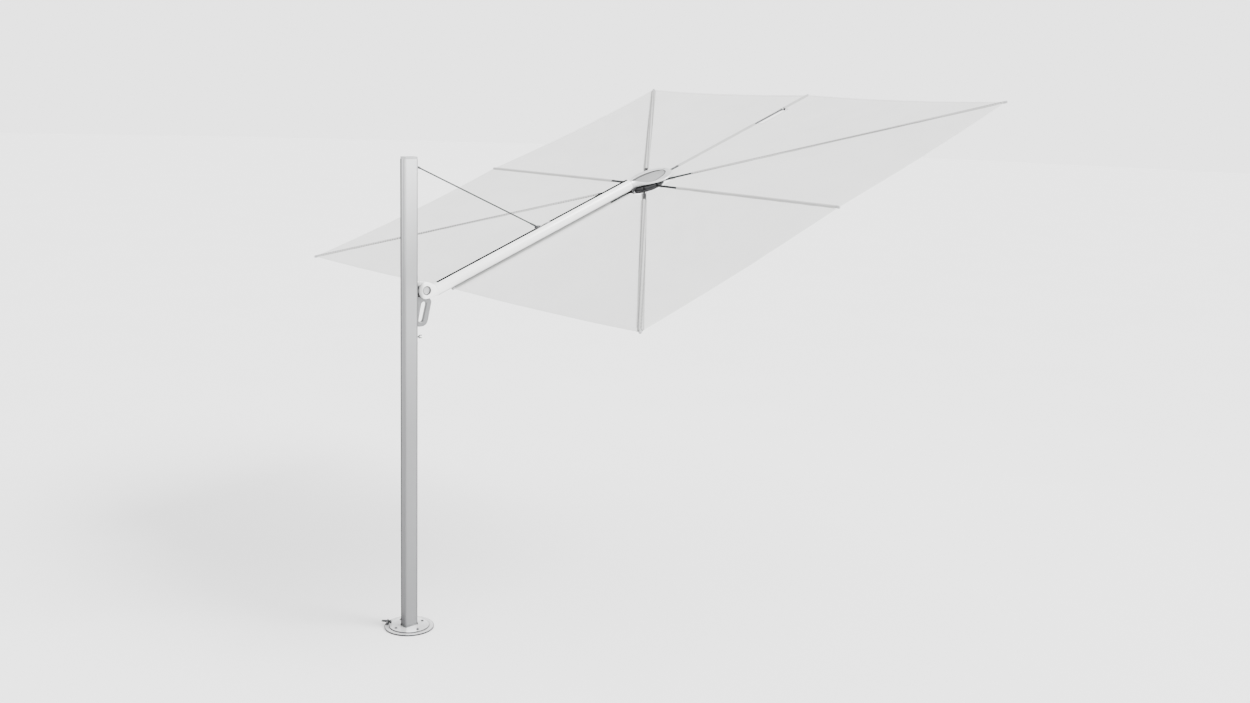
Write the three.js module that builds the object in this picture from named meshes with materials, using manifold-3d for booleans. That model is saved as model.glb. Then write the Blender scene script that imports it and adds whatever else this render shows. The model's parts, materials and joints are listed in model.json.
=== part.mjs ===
// Cantilever parasol with a square flat canopy.
// Units are millimetres, +Z is up, and +X points from the mast towards the canopy.
// The origin is the middle of the mast on the underside of the base plate.
import * as THREE from 'three';
import { mergeVertices } from 'three/addons/utils/BufferGeometryUtils.js';
import { ConvexGeometry } from 'three/addons/geometries/ConvexGeometry.js';
import Module from 'manifold-3d';

const wasm = await Module();
wasm.setup();

// ---------------------------------------------------------------- driving dimensions
const GAP = 0.3; // clearance between touching pieces
const TILT = THREE.MathUtils.degToRad(20.99); // slope of the boom and the canopy

const base = { radius: 135, thickness: 7, edge: 1.8, lip: 0.5, lipWidth: 22 }; // the rim stands a lip higher
const spigot = { radius: 19, wall: 3, top: 330, floor: 8 };
const turntable = { radius: 110, bottom: 7.5, thickness: 5, bore: 19.6, screwCircle: 85, screwHole: 4.6 };
const mast = { depth: 80, width: 50, wall: 3, corner: 9, bottom: 13, top: 2556, slot: 19 };
const cap = { thickness: 12, plugDepth: 46 };
const lock = { azimuth: THREE.MathUtils.degToRad(137), hingeRadius: 120, hingeHeight: 27, bore: 2.9 };
const lockEars = { half: 13, thickness: 4, radius: 6 };

const hinge = new THREE.Vector3(92.5, 0, 1868); // boom hinge on the carriage
const pinRadius = 8;
const stayPivot = new THREE.Vector3(24, 0, 2526); // upper end of the stay, inside the mast
const slider = { back: 8, front: 33, halfWidth: 19, bottom: 1605, top: 1910, shoe: 20 };
const fork = { gap: 6.4, outer: 13.6, radius: 24 }; // half widths of the gap and of the whole, and the eye
const hingeCapSize = { radius: 23, inner: 19.3, outer: 22.5 };

const knuckle = { radius: 46, halfWidth: 28, forkHalf: 14, forkReach: 59 };
const knucklePocket = { radius: 24.5, floor: 19 };
const tube = { radius: 35, wall: 2.5, start: 62, end: 1515, drop: -28 }; // drop is below the hinge
const stayLug = { along: 808.6, height: 10, radius: 3 };
const hubPivot = { along: 1514, height: -72, radius: 5 };

const hub = { along: 1634, radius: 118, bottom: -16, split: 3.3, top: 13, pivotCircle: 100 };
const rib = { tongue: 8, ferruleStart: 126, ferruleEnd: 300, ferruleRadius: 7, rodRadius: 5.5 };
const canopy = { half: 1500, hubOffset: 35, cloth: 1.2, ribGap: 9, innerRadius: 150 };
const handSlot = { from: 965, to: 1250, width: 43 };

// ---------------------------------------------------------------- materials
function finish(color, roughness, metalness) {
  return new THREE.MeshStandardMaterial({ color, roughness, metalness });
}

const material = {
  mastAlloy: finish(0xc9cbcc, 0.38, 0.9),
  whiteCoat: finish(0xf1f1ef, 0.35, 0.1),
  plateCoat: finish(0xe6e7e7, 0.25, 0.3),
  castAlloy: finish(0xd5d6d7, 0.42, 0.6),
  darkCast: finish(0x2a2b2d, 0.5, 0.3),
  blackPlastic: finish(0x151617, 0.55, 0.0),
  greyPlastic: finish(0xa9abad, 0.5, 0.0),
  nylon: finish(0xdedcd2, 0.6, 0.0),
  steel: finish(0x8d9093, 0.3, 1.0),
  ribAlloy: finish(0x77797c, 0.35, 0.9),
  cloth: finish(0xf4f4f2, 0.9, 0.0),
};

// ---------------------------------------------------------------- geometry helpers
function toSolid(geometry) {
  const bare = geometry.clone();
  bare.deleteAttribute('normal');
  bare.deleteAttribute('uv');
  const merged = mergeVertices(bare, 1e-3);
  return new wasm.Manifold(new wasm.Mesh({
    numProp: 3,
    vertProperties: new Float32Array(merged.attributes.position.array),
    triVerts: new Uint32Array(merged.index.array),
  }));
}

function toGeometry(solid) {
  const mesh = solid.getMesh();
  const geometry = new THREE.BufferGeometry();
  geometry.setAttribute('position', new THREE.BufferAttribute(mesh.vertProperties, 3));
  geometry.setIndex(new THREE.BufferAttribute(mesh.triVerts, 1));
  geometry.computeVertexNormals();
  return geometry;
}

const join = (...pieces) => toGeometry(pieces.map(toSolid).reduce((all, next) => all.add(next)));
const cut = (piece, ...tools) => toGeometry(
  tools.map(toSolid).reduce((left, tool) => left.subtract(tool), toSolid(piece)));

/** A box given by its low and high corners. */
function block([x0, x1], [y0, y1], [z0, z1]) {
  const box = new THREE.BoxGeometry(x1 - x0, y1 - y0, z1 - z0);
  return box.translate((x0 + x1) / 2, (y0 + y1) / 2, (z0 + z1) / 2);
}

/** A round bar between two points. */
function bar(from, to, radius, sides = 16) {
  const along = new THREE.Vector3().subVectors(to, from);
  const middle = new THREE.Vector3().addVectors(from, to).multiplyScalar(0.5);
  const geometry = new THREE.CylinderGeometry(radius, radius, along.length(), sides);
  const upright = new THREE.Vector3(0, 1, 0);
  geometry.applyQuaternion(new THREE.Quaternion().setFromUnitVectors(upright, along.normalize()));
  return geometry.translate(...middle.toArray());
}

const point = (x, y, z) => new THREE.Vector3(x, y, z);
const barX = (x0, x1, y, z, radius, sides) => bar(point(x0, y, z), point(x1, y, z), radius, sides);
const barY = (x, y0, y1, z, radius, sides) => bar(point(x, y0, z), point(x, y1, z), radius, sides);
const barZ = (x, y, z0, z1, radius, sides) => bar(point(x, y, z0), point(x, y, z1), radius, sides);

/** A closed profile of [radius, height] pairs turned about Z. */
function turned(profile, sides = 48) {
  const outline = profile.map(([r, h]) => new THREE.Vector2(r, h));
  return new THREE.LatheGeometry(outline, sides).rotateX(Math.PI / 2);
}

function roundedRectangle(width, height, radius) {
  const [w, h] = [width / 2, height / 2];
  const shape = new THREE.Shape();
  shape.absarc(w - radius, h - radius, radius, 0, Math.PI / 2);
  shape.absarc(radius - w, h - radius, radius, Math.PI / 2, Math.PI);
  shape.absarc(radius - w, radius - h, radius, Math.PI, 1.5 * Math.PI);
  shape.absarc(w - radius, radius - h, radius, 1.5 * Math.PI, 2 * Math.PI);
  return shape;
}

/** An outline in the XY plane, made solid from one height to another. */
function slabZ(shape, z0, z1, curveSegments = 4) {
  const geometry = new THREE.ExtrudeGeometry(shape, { depth: z1 - z0, bevelEnabled: false, curveSegments });
  return geometry.translate(0, 0, z0);
}

/** An outline in the XZ plane, made solid to half the thickness on both sides of it. */
function slabY(shape, thickness, curveSegments = 4) {
  const geometry = new THREE.ExtrudeGeometry(shape, { depth: thickness, bevelEnabled: false, curveSegments });
  return geometry.translate(0, 0, -thickness / 2).rotateX(Math.PI / 2);
}

const parasol = new THREE.Group();

function add(name, geometry, kind, parent = parasol) {
  const mesh = new THREE.Mesh(geometry, kind);
  mesh.name = name;
  parent.add(mesh);
}

// ---------------------------------------------------------------- base
function basePlate() {
  const { radius, thickness, edge, lip, lipWidth } = base;
  const rimTop = thickness + lip;
  return turned([[0, 0], [radius - edge, 0], [radius, edge], [radius, rimTop - edge], [radius - edge, rimTop],
    [radius - lipWidth, rimTop], [radius - lipWidth - 1, thickness], [0, thickness]]);
}

function baseSpigot() {
  const bottom = base.thickness + GAP;
  return cut(barZ(0, 0, bottom, spigot.top, spigot.radius, 32),
    barZ(0, 0, bottom + spigot.floor, spigot.top + 1, spigot.radius - spigot.wall, 32));
}

add('base_plate', basePlate(), material.plateCoat);
add('base_spigot', baseSpigot(), material.steel);

// The turntable lock stands on the rim of the base plate, and its pedal reaches outwards.
const lockSide = new THREE.Group();
lockSide.rotation.z = lock.azimuth;
parasol.add(lockSide);

function lockBracket() {
  const { hingeRadius, hingeHeight } = lock;
  const { half, thickness, radius } = lockEars;
  const foot = block([113.5, 131], [-half, half], [base.thickness + base.lip + GAP, 12]);
  const ears = [[-half, thickness - half], [half - thickness, half]].map(([y0, y1]) => join(
    block([hingeRadius - radius, hingeRadius + radius], [y0, y1], [11, hingeHeight]),
    barY(hingeRadius, y0, y1, hingeHeight, radius, 16)));
  const bores = barY(hingeRadius, -half - 1, half + 1, hingeHeight, lock.bore, 12);
  return cut(join(foot, ...ears), bores);
}

function lockPedal() {
  const side = new THREE.Shape();
  side.moveTo(98, 15.5);
  side.lineTo(103, 15.5);
  side.quadraticCurveTo(107, 23, 116, 22);
  side.lineTo(150, 25);
  side.quadraticCurveTo(155, 27, 152, 31);
  side.lineTo(126, 31.5);
  side.lineTo(104, 31);
  side.quadraticCurveTo(98, 29, 98, 15.5);
  return cut(slabY(side, 17), barY(lock.hingeRadius, -10, 10, lock.hingeHeight, lock.bore, 12));
}

add('lock_bracket', lockBracket(), material.darkCast, lockSide);
const lockPinEnd = lockEars.half + 2;
const lockPin = barY(lock.hingeRadius, -lockPinEnd, lockPinEnd, lock.hingeHeight, lock.bore - 0.4, 12);
add('lock_pin', lockPin, material.steel, lockSide);
add('lock_pedal', lockPedal(), material.darkCast, lockSide);

// ---------------------------------------------------------------- mast
const turntableTop = turntable.bottom + turntable.thickness;
const screwPlaces = [0, 1, 2, 3].map((k) => {
  const angle = k * Math.PI / 2;
  return [turntable.screwCircle * Math.cos(angle), turntable.screwCircle * Math.sin(angle)];
});

function turntableDisc() {
  const { radius, bottom, bore, screwHole } = turntable;
  const disc = turned([[0, bottom], [radius - 0.5, bottom], [radius, bottom + 0.5],
    [radius, turntableTop - 1.5], [radius - 1.5, turntableTop], [0, turntableTop]]);
  const holes = screwPlaces.map(([x, y]) => barZ(x, y, 0, 30, screwHole, 12));
  return cut(disc, barZ(0, 0, 0, 30, bore, 32), ...holes);
}

/** A button-headed screw with a hexagon socket. */
function turntableScrew() {
  const [bottom, seat] = [turntable.bottom + 0.5, turntableTop + GAP];
  const [shank, head, crown] = [4, 8, 6];
  const button = turned([[0, bottom], [shank, bottom], [shank, seat], [head, seat], [head, seat + 1.3],
    [crown, seat + 3.7], [0, seat + 4.3]], 16);
  return cut(button, barZ(0, 0, seat + 1.7, seat + 10, 2.8, 6));
}

add('turntable_disc', turntableDisc(), material.plateCoat);
screwPlaces.forEach(([x, y], k) => {
  add(`turntable_screw_${k + 1}`, turntableScrew().translate(x, y, 0), material.darkCast);
});

/** The mast is one extruded section, open along the front where the carriage runs. */
function mastTube() {
  const { depth, width, wall, corner, slot, bottom, top } = mast;
  const outer = slabZ(roundedRectangle(depth, width, corner), bottom, top, 3);
  const inside = roundedRectangle(depth - 2 * wall, width - 2 * wall, corner - wall);
  const hollow = slabZ(inside, bottom - 1, top + 1, 3);
  const front = block([depth / 2 - wall - 1, depth / 2 + 1], [-slot / 2, slot / 2], [bottom - 1, top + 1]);
  return cut(outer, hollow, front);
}

/** The cap closes the mast, and its plug holds the pivot of the stay. */
function mastCap() {
  const { depth, width, wall, corner, top } = mast;
  const lid = slabZ(roundedRectangle(depth, width, corner), top + GAP, top + cap.thickness, 3);
  const [x, y] = [depth / 2 - wall - GAP, width / 2 - wall - GAP];
  const plug = slabZ(roundedRectangle(2 * x, 2 * y, corner - wall), top - cap.plugDepth, top + 1, 3);
  const throat = block([13, x + 1], [-6.4, 6.4], [top - cap.plugDepth - 1, stayPivot.z + 11]);
  const bore = barY(stayPivot.x, -30, 30, stayPivot.z, 4.4, 16);
  return cut(join(lid, plug), throat, bore);
}

function spigotBush(z0, z1) {
  const inside = { x: mast.depth - 2 * mast.wall - 2 * GAP, y: mast.width - 2 * mast.wall - 2 * GAP };
  return cut(slabZ(roundedRectangle(inside.x, inside.y, mast.corner - mast.wall), z0, z1, 3),
    barZ(0, 0, z0 - 1, z1 + 1, spigot.radius + 0.45, 32));
}

function footCollar() {
  const [z0, z1] = [turntableTop + GAP, 19];
  return cut(slabZ(roundedRectangle(mast.depth + 9, mast.width + 9, mast.corner + 4), z0, z1, 3),
    slabZ(roundedRectangle(mast.depth + 2 * GAP, mast.width + 2 * GAP, mast.corner), z0 - 1, z1 + 1, 3));
}

add('mast_tube', mastTube(), material.mastAlloy);
add('mast_cap', mastCap(), material.greyPlastic);
add('foot_collar', footCollar(), material.greyPlastic);
add('lower_bush', spigotBush(14, 44), material.nylon);
add('upper_bush', spigotBush(290, 320), material.nylon);
add('stay_pin', barY(stayPivot.x, -21.6, 21.6, stayPivot.z, 4, 16), material.steel);

// ---------------------------------------------------------------- carriage
/** The slider runs inside the mast, and its fork holds the boom hinge in front of it. */
function carriageBracket() {
  const { back, front, halfWidth, bottom, top } = slider;
  const { gap, outer, radius } = fork;
  const throughSlot = [-9, 9];
  const inner = block([back, front], [-halfWidth, halfWidth], [bottom, top]);
  const neck = join(block([front - 2, 43], throughSlot, [hinge.z - 46, hinge.z + 34]),
    block([42, 63], throughSlot, [hinge.z - radius, hinge.z + radius]));
  const plates = [[-outer, -gap], [gap, outer]].map(([y0, y1]) => join(
    block([46, hinge.x], [y0, y1], [hinge.z - radius, hinge.z + radius]),
    barY(hinge.x, y0, y1, hinge.z, radius, 24)));
  const eyeRoom = barY(hinge.x, -gap, gap, hinge.z, radius, 24);
  return cut(join(inner, neck, ...plates), eyeRoom, barY(hinge.x, -20, 20, hinge.z, pinRadius + GAP, 24));
}

function slidingShoe(z0, z1) {
  return slabZ(roundedRectangle(30.5, 42.8, 6), z0, z1, 3).translate(21.25, 0, 0);
}

/** A small two-horned cleat for the tie strap, on a stem that comes out of the slot. */
function strapCleat() {
  const z = slider.bottom + 15;
  const stem = barX(slider.front + GAP, 62, 0, z, 3.4, 12);
  const root = barZ(62, 0, z - 8, z + 8, 3.2, 12);
  const horns = [-1, 1].map((side) => barX(61, 79, 0, z + side * 7, 2.6, 12));
  return join(stem, root, ...horns);
}

function hingeCap(side) {
  const { radius, inner, outer } = hingeCapSize;
  const [y0, y1] = side < 0 ? [-outer, -inner] : [inner, outer];
  return barY(hinge.x, y0, y1, hinge.z, radius, 24);
}

add('carriage_bracket', carriageBracket(), material.darkCast);
add('slider_shoe_upper', slidingShoe(slider.top + GAP, slider.top + slider.shoe), material.nylon);
add('slider_shoe_lower', slidingShoe(slider.bottom - slider.shoe, slider.bottom - GAP), material.nylon);
add('hinge_pin', barY(hinge.x, -19, 19, hinge.z, pinRadius, 24), material.steel);
add('hinge_cap_left', hingeCap(1), material.castAlloy);
add('hinge_cap_right', hingeCap(-1), material.castAlloy);
add('strap_cleat', strapCleat(), material.darkCast);

/** The release handle is a closed loop that hangs from an eye on the hinge pin. */
function releaseHandle() {
  const loop = new THREE.Shape();
  loop.moveTo(-46.4, -30);
  loop.quadraticCurveTo(-20, -27, 14, -27);
  loop.lineTo(18, -38);
  loop.quadraticCurveTo(43, -46, 43, -68);
  loop.lineTo(22, -160);
  loop.quadraticCurveTo(15, -190, -14, -194);
  loop.lineTo(-34, -194);
  loop.quadraticCurveTo(-46.4, -194, -46.4, -178);
  loop.lineTo(-46.4, -30);
  const grip = new THREE.Shape();
  grip.moveTo(-21, -72);
  grip.quadraticCurveTo(-16, -62, -5, -62);
  grip.quadraticCurveTo(11, -62, 9, -78);
  grip.lineTo(-11, -158);
  grip.quadraticCurveTo(-15, -169, -27, -169);
  grip.quadraticCurveTo(-40, -169, -38, -152);
  grip.lineTo(-21, -72);
  const eye = join(barY(0, -6, 6, 0, 22, 24), block([-13, 13], [-6, 6], [-40, 0]));
  const body = cut(slabY(loop, 20), slabY(grip, 24));
  return cut(join(body, eye), barY(0, -8, 8, 0, pinRadius + GAP, 24)).translate(hinge.x, 0, hinge.z);
}

add('release_handle', releaseHandle(), material.castAlloy);

// ---------------------------------------------------------------- boom, in its own frame
// Here X runs along the boom from the hinge, and Z is square to it and away from the canopy.
const boom = new THREE.Group();
boom.position.copy(hinge);
boom.rotation.y = -TILT;
parasol.add(boom);

const ring = (x, z, radius, halfWidth, sides) => Array.from({ length: sides }, (_, k) => {
  const angle = k * 2 * Math.PI / sides;
  return [point(x + radius * Math.cos(angle), -halfWidth, z + radius * Math.sin(angle)),
    point(x + radius * Math.cos(angle), halfWidth, z + radius * Math.sin(angle))];
}).flat();

const section = (x, z, radiusY, radiusZ, sides) => Array.from({ length: sides }, (_, k) => {
  const angle = k * 2 * Math.PI / sides;
  return point(x, radiusY * Math.cos(angle), z + radiusZ * Math.sin(angle));
});

/** Two round cheeks that run into the end of the tube. */
function boomKnuckle() {
  const { radius, halfWidth, forkHalf, forkReach } = knuckle;
  const body = new ConvexGeometry([...ring(0, 0, radius, halfWidth, 28),
    ...section(tube.start, tube.drop, tube.radius, tube.radius, 24)]);
  const forkRoom = barY(0, -forkHalf, forkHalf, 0, forkReach, 28);
  const { floor } = knucklePocket;
  const pockets = [[-40, -floor], [floor, 40]].map(([y0, y1]) => barY(0, y0, y1, 0, knucklePocket.radius, 24));
  return cut(body, forkRoom, ...pockets, barY(0, -30, 30, 0, pinRadius + GAP, 24));
}

function boomTube() {
  const { start, end, drop, radius, wall } = tube;
  const from = start + GAP;
  const hollow = barX(from - 1, end + 1, 0, drop, radius - wall, 32);
  const stayRoom = block([stayLug.along - 8, stayLug.along + 75], [-5.6, 5.6], [drop + 20, drop + 50]);
  return cut(barX(from, end, 0, drop, radius, 32), hollow, stayRoom);
}

/** The lug that takes the lower end of the stay sits on top of the tube. */
function stayLugBody() {
  const { along, height } = stayLug;
  const lug = block([along - 16, along + 12], [-9, 9], [tube.drop + 20, height + 6]);
  const tubeRoom = barX(along - 20, along + 20, 0, tube.drop, tube.radius + GAP, 32);
  const eyeRoom = block([along - 8, along + 13], [-5.2, 5.2], [tube.drop, height + 10]);
  const overRoom = block([along - 17, along], [-5.2, 5.2], [height + 0.5, height + 10]);
  return cut(lug, tubeRoom, eyeRoom, overRoom, barY(along, -10, 10, height, stayLug.radius + GAP, 16));
}

/** The head is a spoon-shaped plate with a hollowed top, which covers the hub. */
function boomHead() {
  const [top, bottom] = [-44, -56];
  const start = tube.end + GAP;
  const neck = new ConvexGeometry([
    ...section(start, tube.drop, tube.radius, tube.radius, 24),
    ...section(start + 10, tube.drop, tube.radius, tube.radius, 24),
    ...section(start + 92, (top + bottom) / 2, 86, (top - bottom) / 2, 24)]);
  const petal = new THREE.Shape();
  petal.moveTo(1530, -34);
  petal.bezierCurveTo(1575, -58, 1600, -138, 1688, -138);
  petal.absarc(1688, 0, 138, -Math.PI / 2, Math.PI / 2);
  petal.bezierCurveTo(1600, 138, 1575, 58, 1530, 34);
  const dish = new THREE.Shape();
  dish.moveTo(1528, -22);
  dish.bezierCurveTo(1590, -58, 1640, -92, 1700, -86);
  dish.bezierCurveTo(1775, -76, 1800, -30, 1800, 0);
  dish.bezierCurveTo(1800, 30, 1775, 76, 1700, 86);
  dish.bezierCurveTo(1640, 92, 1590, 58, 1528, 22);
  const lugs = [-1, 1].map((side) => {
    const [y0, y1] = side < 0 ? [-36, -29] : [29, 36];
    const { along, height } = hubPivot;
    const hanger = join(block([along - 9, along + 9], [y0, y1], [height, -50]),
      barY(along, y0, y1, height, 9, 20));
    const eye = cut(hanger, block([along + 4.5, along + 20], [y0 - 1, y1 + 1], [height - 20, bottom]));
    return join(eye, block([start + 1, 1545], [y0, y1], [bottom, -38]));
  });
  const hubRoom = block([start - 1, 1900], [-200, 200], [-200, bottom]);
  const plate = cut(join(neck, slabZ(petal, bottom, top, 10)), hubRoom, slabZ(dish, -50, 60, 8));
  const bores = barY(hubPivot.along, -50, 50, hubPivot.height, hubPivot.radius + GAP, 20);
  return cut(join(plate, ...lugs), bores);
}

function hubPin(side) {
  const { along, height, radius } = hubPivot;
  return side < 0 ? barY(along, -39, -14.5, height, radius, 20) : barY(along, 14.5, 39, height, radius, 20);
}

add('boom_knuckle', boomKnuckle(), material.whiteCoat, boom);
add('boom_tube', boomTube(), material.whiteCoat, boom);
add('boom_head', boomHead(), material.castAlloy, boom);
add('stay_lug', stayLugBody(), material.darkCast, boom);
add('stay_lug_pin', barY(stayLug.along, -11, 11, stayLug.height, stayLug.radius, 16), material.steel, boom);
add('hub_pin_left', hubPin(1), material.steel, boom);
add('hub_pin_right', hubPin(-1), material.steel, boom);

// ---------------------------------------------------------------- stay
/** A thin rod with an eye at each end, from the mast cap down to the lug on the boom. */
function stayRod() {
  boom.updateMatrixWorld();
  const lower = boom.localToWorld(point(stayLug.along, 0, stayLug.height));
  const rod = join(bar(stayPivot, lower, 4, 12), barY(stayPivot.x, -6, 6, stayPivot.z, 9, 20),
    barY(lower.x, -4.6, 4.6, lower.z, 6.5, 20));
  return cut(rod, barY(stayPivot.x, -8, 8, stayPivot.z, 4.4, 16), barY(lower.x, -8, 8, lower.z, 3.4, 16));
}

add('stay_rod', stayRod(), material.steel);

// ---------------------------------------------------------------- hub, in its own frame
// The hub frame lies in the canopy: X runs out along the boom, and Z is the canopy's upper side.
const hubFrame = new THREE.Group();
hubFrame.position.set(hub.along, 0, hubPivot.height);
boom.add(hubFrame);

/** Ribs run to the corners of the square and to the middle of each side. */
const [near, far] = [canopy.half - canopy.hubOffset, canopy.half + canopy.hubOffset];
const sideShift = -15; // the two side ribs lean slightly towards the mast
const ribTips = [[far, 0], [far, canopy.half], [sideShift, canopy.half], [-near, canopy.half],
  [-near, 0], [-near, -canopy.half], [sideShift, -canopy.half], [far, -canopy.half]];
const ribAzimuths = ribTips.map(([x, y]) => Math.atan2(y, x));
const ribLengths = ribTips.map(([x, y]) => Math.hypot(x, y));

const slotHalf = rib.tongue / 2 + 0.6;
const ribSlots = ribAzimuths.map((azimuth) => (
  block([91, 130], [-slotHalf, slotHalf], [-30, 30]).rotateZ(azimuth)));
const trunnion = { radius: 3, half: 12 };
const trunnionRooms = ribAzimuths.map((azimuth) => {
  const [radius, half] = [trunnion.radius + 0.5, trunnion.half + 0.6];
  const seat = barY(hub.pivotCircle, -half, half, 0, radius, 8);
  const way = block([hub.pivotCircle - radius + GAP, hub.pivotCircle + radius - GAP], [-half, half], [0, 6]);
  return join(seat, way).rotateZ(azimuth);
});

const hubPivotX = hubPivot.along - hub.along;
const lugRooms = [[-37, -28], [28, 37]].map(([y0, y1]) => barY(hubPivotX, y0, y1, 0, 10.5, 24));

function hubBody() {
  const { radius, bottom, split } = hub;
  const disc = turned([[0, bottom], [40, bottom - 4], [radius - 14, bottom], [radius, bottom + 6],
    [radius, split], [0, split]], 40);
  const arms = [-1, 1].map((side) => {
    const [y0, y1] = side < 0 ? [-26, -15] : [15, 26];
    return join(block([hubPivotX, -100], [y0, y1], [-8, split]), barY(hubPivotX, y0, y1, 0, 8, 20));
  });
  const bores = barY(hubPivotX, -30, 30, 0, hubPivot.radius + 0.4, 20);
  return cut(join(disc, ...arms), ...ribSlots, ...trunnionRooms, ...lugRooms, bores);
}

function hubRetainer() {
  const { split, top } = hub;
  const [low, radius] = [split + GAP, hub.radius - 6];
  const disc = turned([[0, low], [radius, low], [radius, top - 3], [radius - 4, top], [0, top]], 40);
  return cut(disc, ...ribSlots, ...lugRooms);
}

add('hub_body', hubBody(), material.blackPlastic, hubFrame);
add('hub_retainer', hubRetainer(), material.blackPlastic, hubFrame);

// ---------------------------------------------------------------- ribs and cloth
const capLength = 30;

/** A rib along +X: trunnion, flat tongue, thick ferrule and slim rod. */
function ribBody(length) {
  const { tongue, ferruleStart, ferruleEnd, ferruleRadius, rodRadius } = rib;
  const pivot = hub.pivotCircle;
  return join(
    barY(pivot, -trunnion.half, trunnion.half, 0, trunnion.radius, 8),
    barY(pivot, -tongue / 2, tongue / 2, 0, 6, 16),
    block([pivot, ferruleStart + 1], [-tongue / 2, tongue / 2], [-5.5, 5.5]),
    barX(ferruleStart, ferruleEnd, 0, 0, ferruleRadius, 16),
    barX(ferruleEnd - 1, length - capLength + 8, 0, 0, rodRadius, 12));
}

function ribCap(length) {
  const start = length - capLength + 8 + GAP;
  const end = length + 8;
  return turned([[0, start], [7.2, start], [7.8, start + 2], [7.8, end - 4], [5, end - 0.8], [0, end]], 16)
    .rotateY(Math.PI / 2);
}

/** The point where the line beside a rib, shifted by some distance, meets the hem. */
function hemPoint(index, shift, hemSide) {
  const azimuth = ribAzimuths[index];
  const start = new THREE.Vector2(-shift * Math.sin(azimuth), shift * Math.cos(azimuth));
  const way = new THREE.Vector2(Math.cos(azimuth), Math.sin(azimuth));
  const [axis, value] = hemSide;
  const travel = (value - start[axis]) / way[axis];
  return start.addScaledVector(way, travel);
}

function innerPoint(index, shift) {
  const azimuth = ribAzimuths[index];
  const { innerRadius } = canopy;
  return new THREE.Vector2(innerRadius * Math.cos(azimuth) - shift * Math.sin(azimuth),
    innerRadius * Math.sin(azimuth) + shift * Math.cos(azimuth));
}

const hemSides = [['x', far], ['y', canopy.half], ['y', canopy.half], ['x', -near],
  ['x', -near], ['y', -canopy.half], ['y', -canopy.half], ['x', far]];

const ringPlace = handSlot.to + canopy.hubOffset - 16; // along the outer rib, from the hub's centre

/** The cloth between one rib and the next, clear of both. */
function canopyPanel(index) {
  const next = (index + 1) % 8;
  const corners = [innerPoint(index, canopy.ribGap), hemPoint(index, canopy.ribGap, hemSides[index]),
    hemPoint(next, -canopy.ribGap, hemSides[index]), innerPoint(next, -canopy.ribGap)];
  const sheet = slabZ(new THREE.Shape(corners), -canopy.cloth / 2, canopy.cloth / 2);
  if (index === 0) return cut(sheet, block([ringPlace - 5, ringPlace + 5], [0, 16], [-5, 5]));
  if (next !== 0) return sheet;
  const [from, to] = [handSlot.from + canopy.hubOffset, handSlot.to + canopy.hubOffset];
  const edge = -canopy.ribGap;
  return cut(sheet, block([from, to], [edge - handSlot.width, edge + 5], [-5, 5]));
}

ribAzimuths.forEach((azimuth, index) => {
  const frame = new THREE.Group();
  frame.rotation.z = azimuth;
  hubFrame.add(frame);
  add(`rib_${index + 1}`, ribBody(ribLengths[index]), material.ribAlloy, frame);
  add(`rib_cap_${index + 1}`, ribCap(ribLengths[index]), material.greyPlastic, frame);
  add(`canopy_panel_${index + 1}`, canopyPanel(index), material.cloth, hubFrame);
});

// A ring round the bare stretch of the outer rib carries a small knob for the hand.
const grabRing = new THREE.TorusGeometry(11, 3, 8, 16).rotateY(Math.PI / 2).translate(ringPlace, 0, 0);
const grabKnob = turned([[0, 14.5], [5, 14.5], [7, 18], [7, 25], [4.5, 28], [0, 28.5]], 16)
  .rotateX(Math.PI / 2).translate(ringPlace, 0, 0);
add('grab_ring', grabRing, material.castAlloy, hubFrame);
add('grab_knob', grabKnob, material.blackPlastic, hubFrame);

export default parasol;
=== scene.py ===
"""Looks of a cantilever parasol: cloth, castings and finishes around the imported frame. Metres, +Z up."""
import json
from contextlib import contextmanager
from math import atan2, cos, pi, radians, sin, sqrt

import bmesh
import bpy
from mathutils import Matrix, Vector, noise


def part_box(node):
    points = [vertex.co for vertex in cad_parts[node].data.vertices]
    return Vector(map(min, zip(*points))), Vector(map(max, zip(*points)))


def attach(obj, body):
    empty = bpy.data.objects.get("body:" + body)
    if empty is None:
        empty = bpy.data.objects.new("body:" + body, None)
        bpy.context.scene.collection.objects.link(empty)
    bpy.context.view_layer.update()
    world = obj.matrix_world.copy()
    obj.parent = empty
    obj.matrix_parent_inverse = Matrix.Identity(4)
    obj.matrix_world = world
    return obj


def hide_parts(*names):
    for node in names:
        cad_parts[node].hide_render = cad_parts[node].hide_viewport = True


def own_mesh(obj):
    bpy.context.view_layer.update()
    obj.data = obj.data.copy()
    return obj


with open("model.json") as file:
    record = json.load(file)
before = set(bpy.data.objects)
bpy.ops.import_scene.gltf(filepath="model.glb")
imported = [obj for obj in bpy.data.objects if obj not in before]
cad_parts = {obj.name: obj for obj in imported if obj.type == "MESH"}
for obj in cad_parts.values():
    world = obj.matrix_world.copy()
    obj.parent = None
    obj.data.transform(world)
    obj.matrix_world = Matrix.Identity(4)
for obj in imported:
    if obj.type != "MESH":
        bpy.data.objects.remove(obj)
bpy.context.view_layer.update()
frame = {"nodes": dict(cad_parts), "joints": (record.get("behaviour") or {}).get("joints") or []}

# ---- the frame's own directions and places
JOINTS = {joint["name"]: joint for joint in frame["joints"]}
RIBS = range(1, 9)


def pivot(joint):
    return Vector(JOINTS[joint]["pos_m"])


HINGE = pivot("carriage_pivot")
HUB = (pivot("rib_fold_1") + pivot("rib_fold_5")) / 2
ALONG = (pivot("rib_fold_1") - pivot("rib_fold_5")).normalized()
ACROSS = Vector((0, 1, 0))
UP = ALONG.cross(ACROSS)
WORLD_X, WORLD_Z = Vector((1, 0, 0)), Vector((0, 0, 1))


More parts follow.
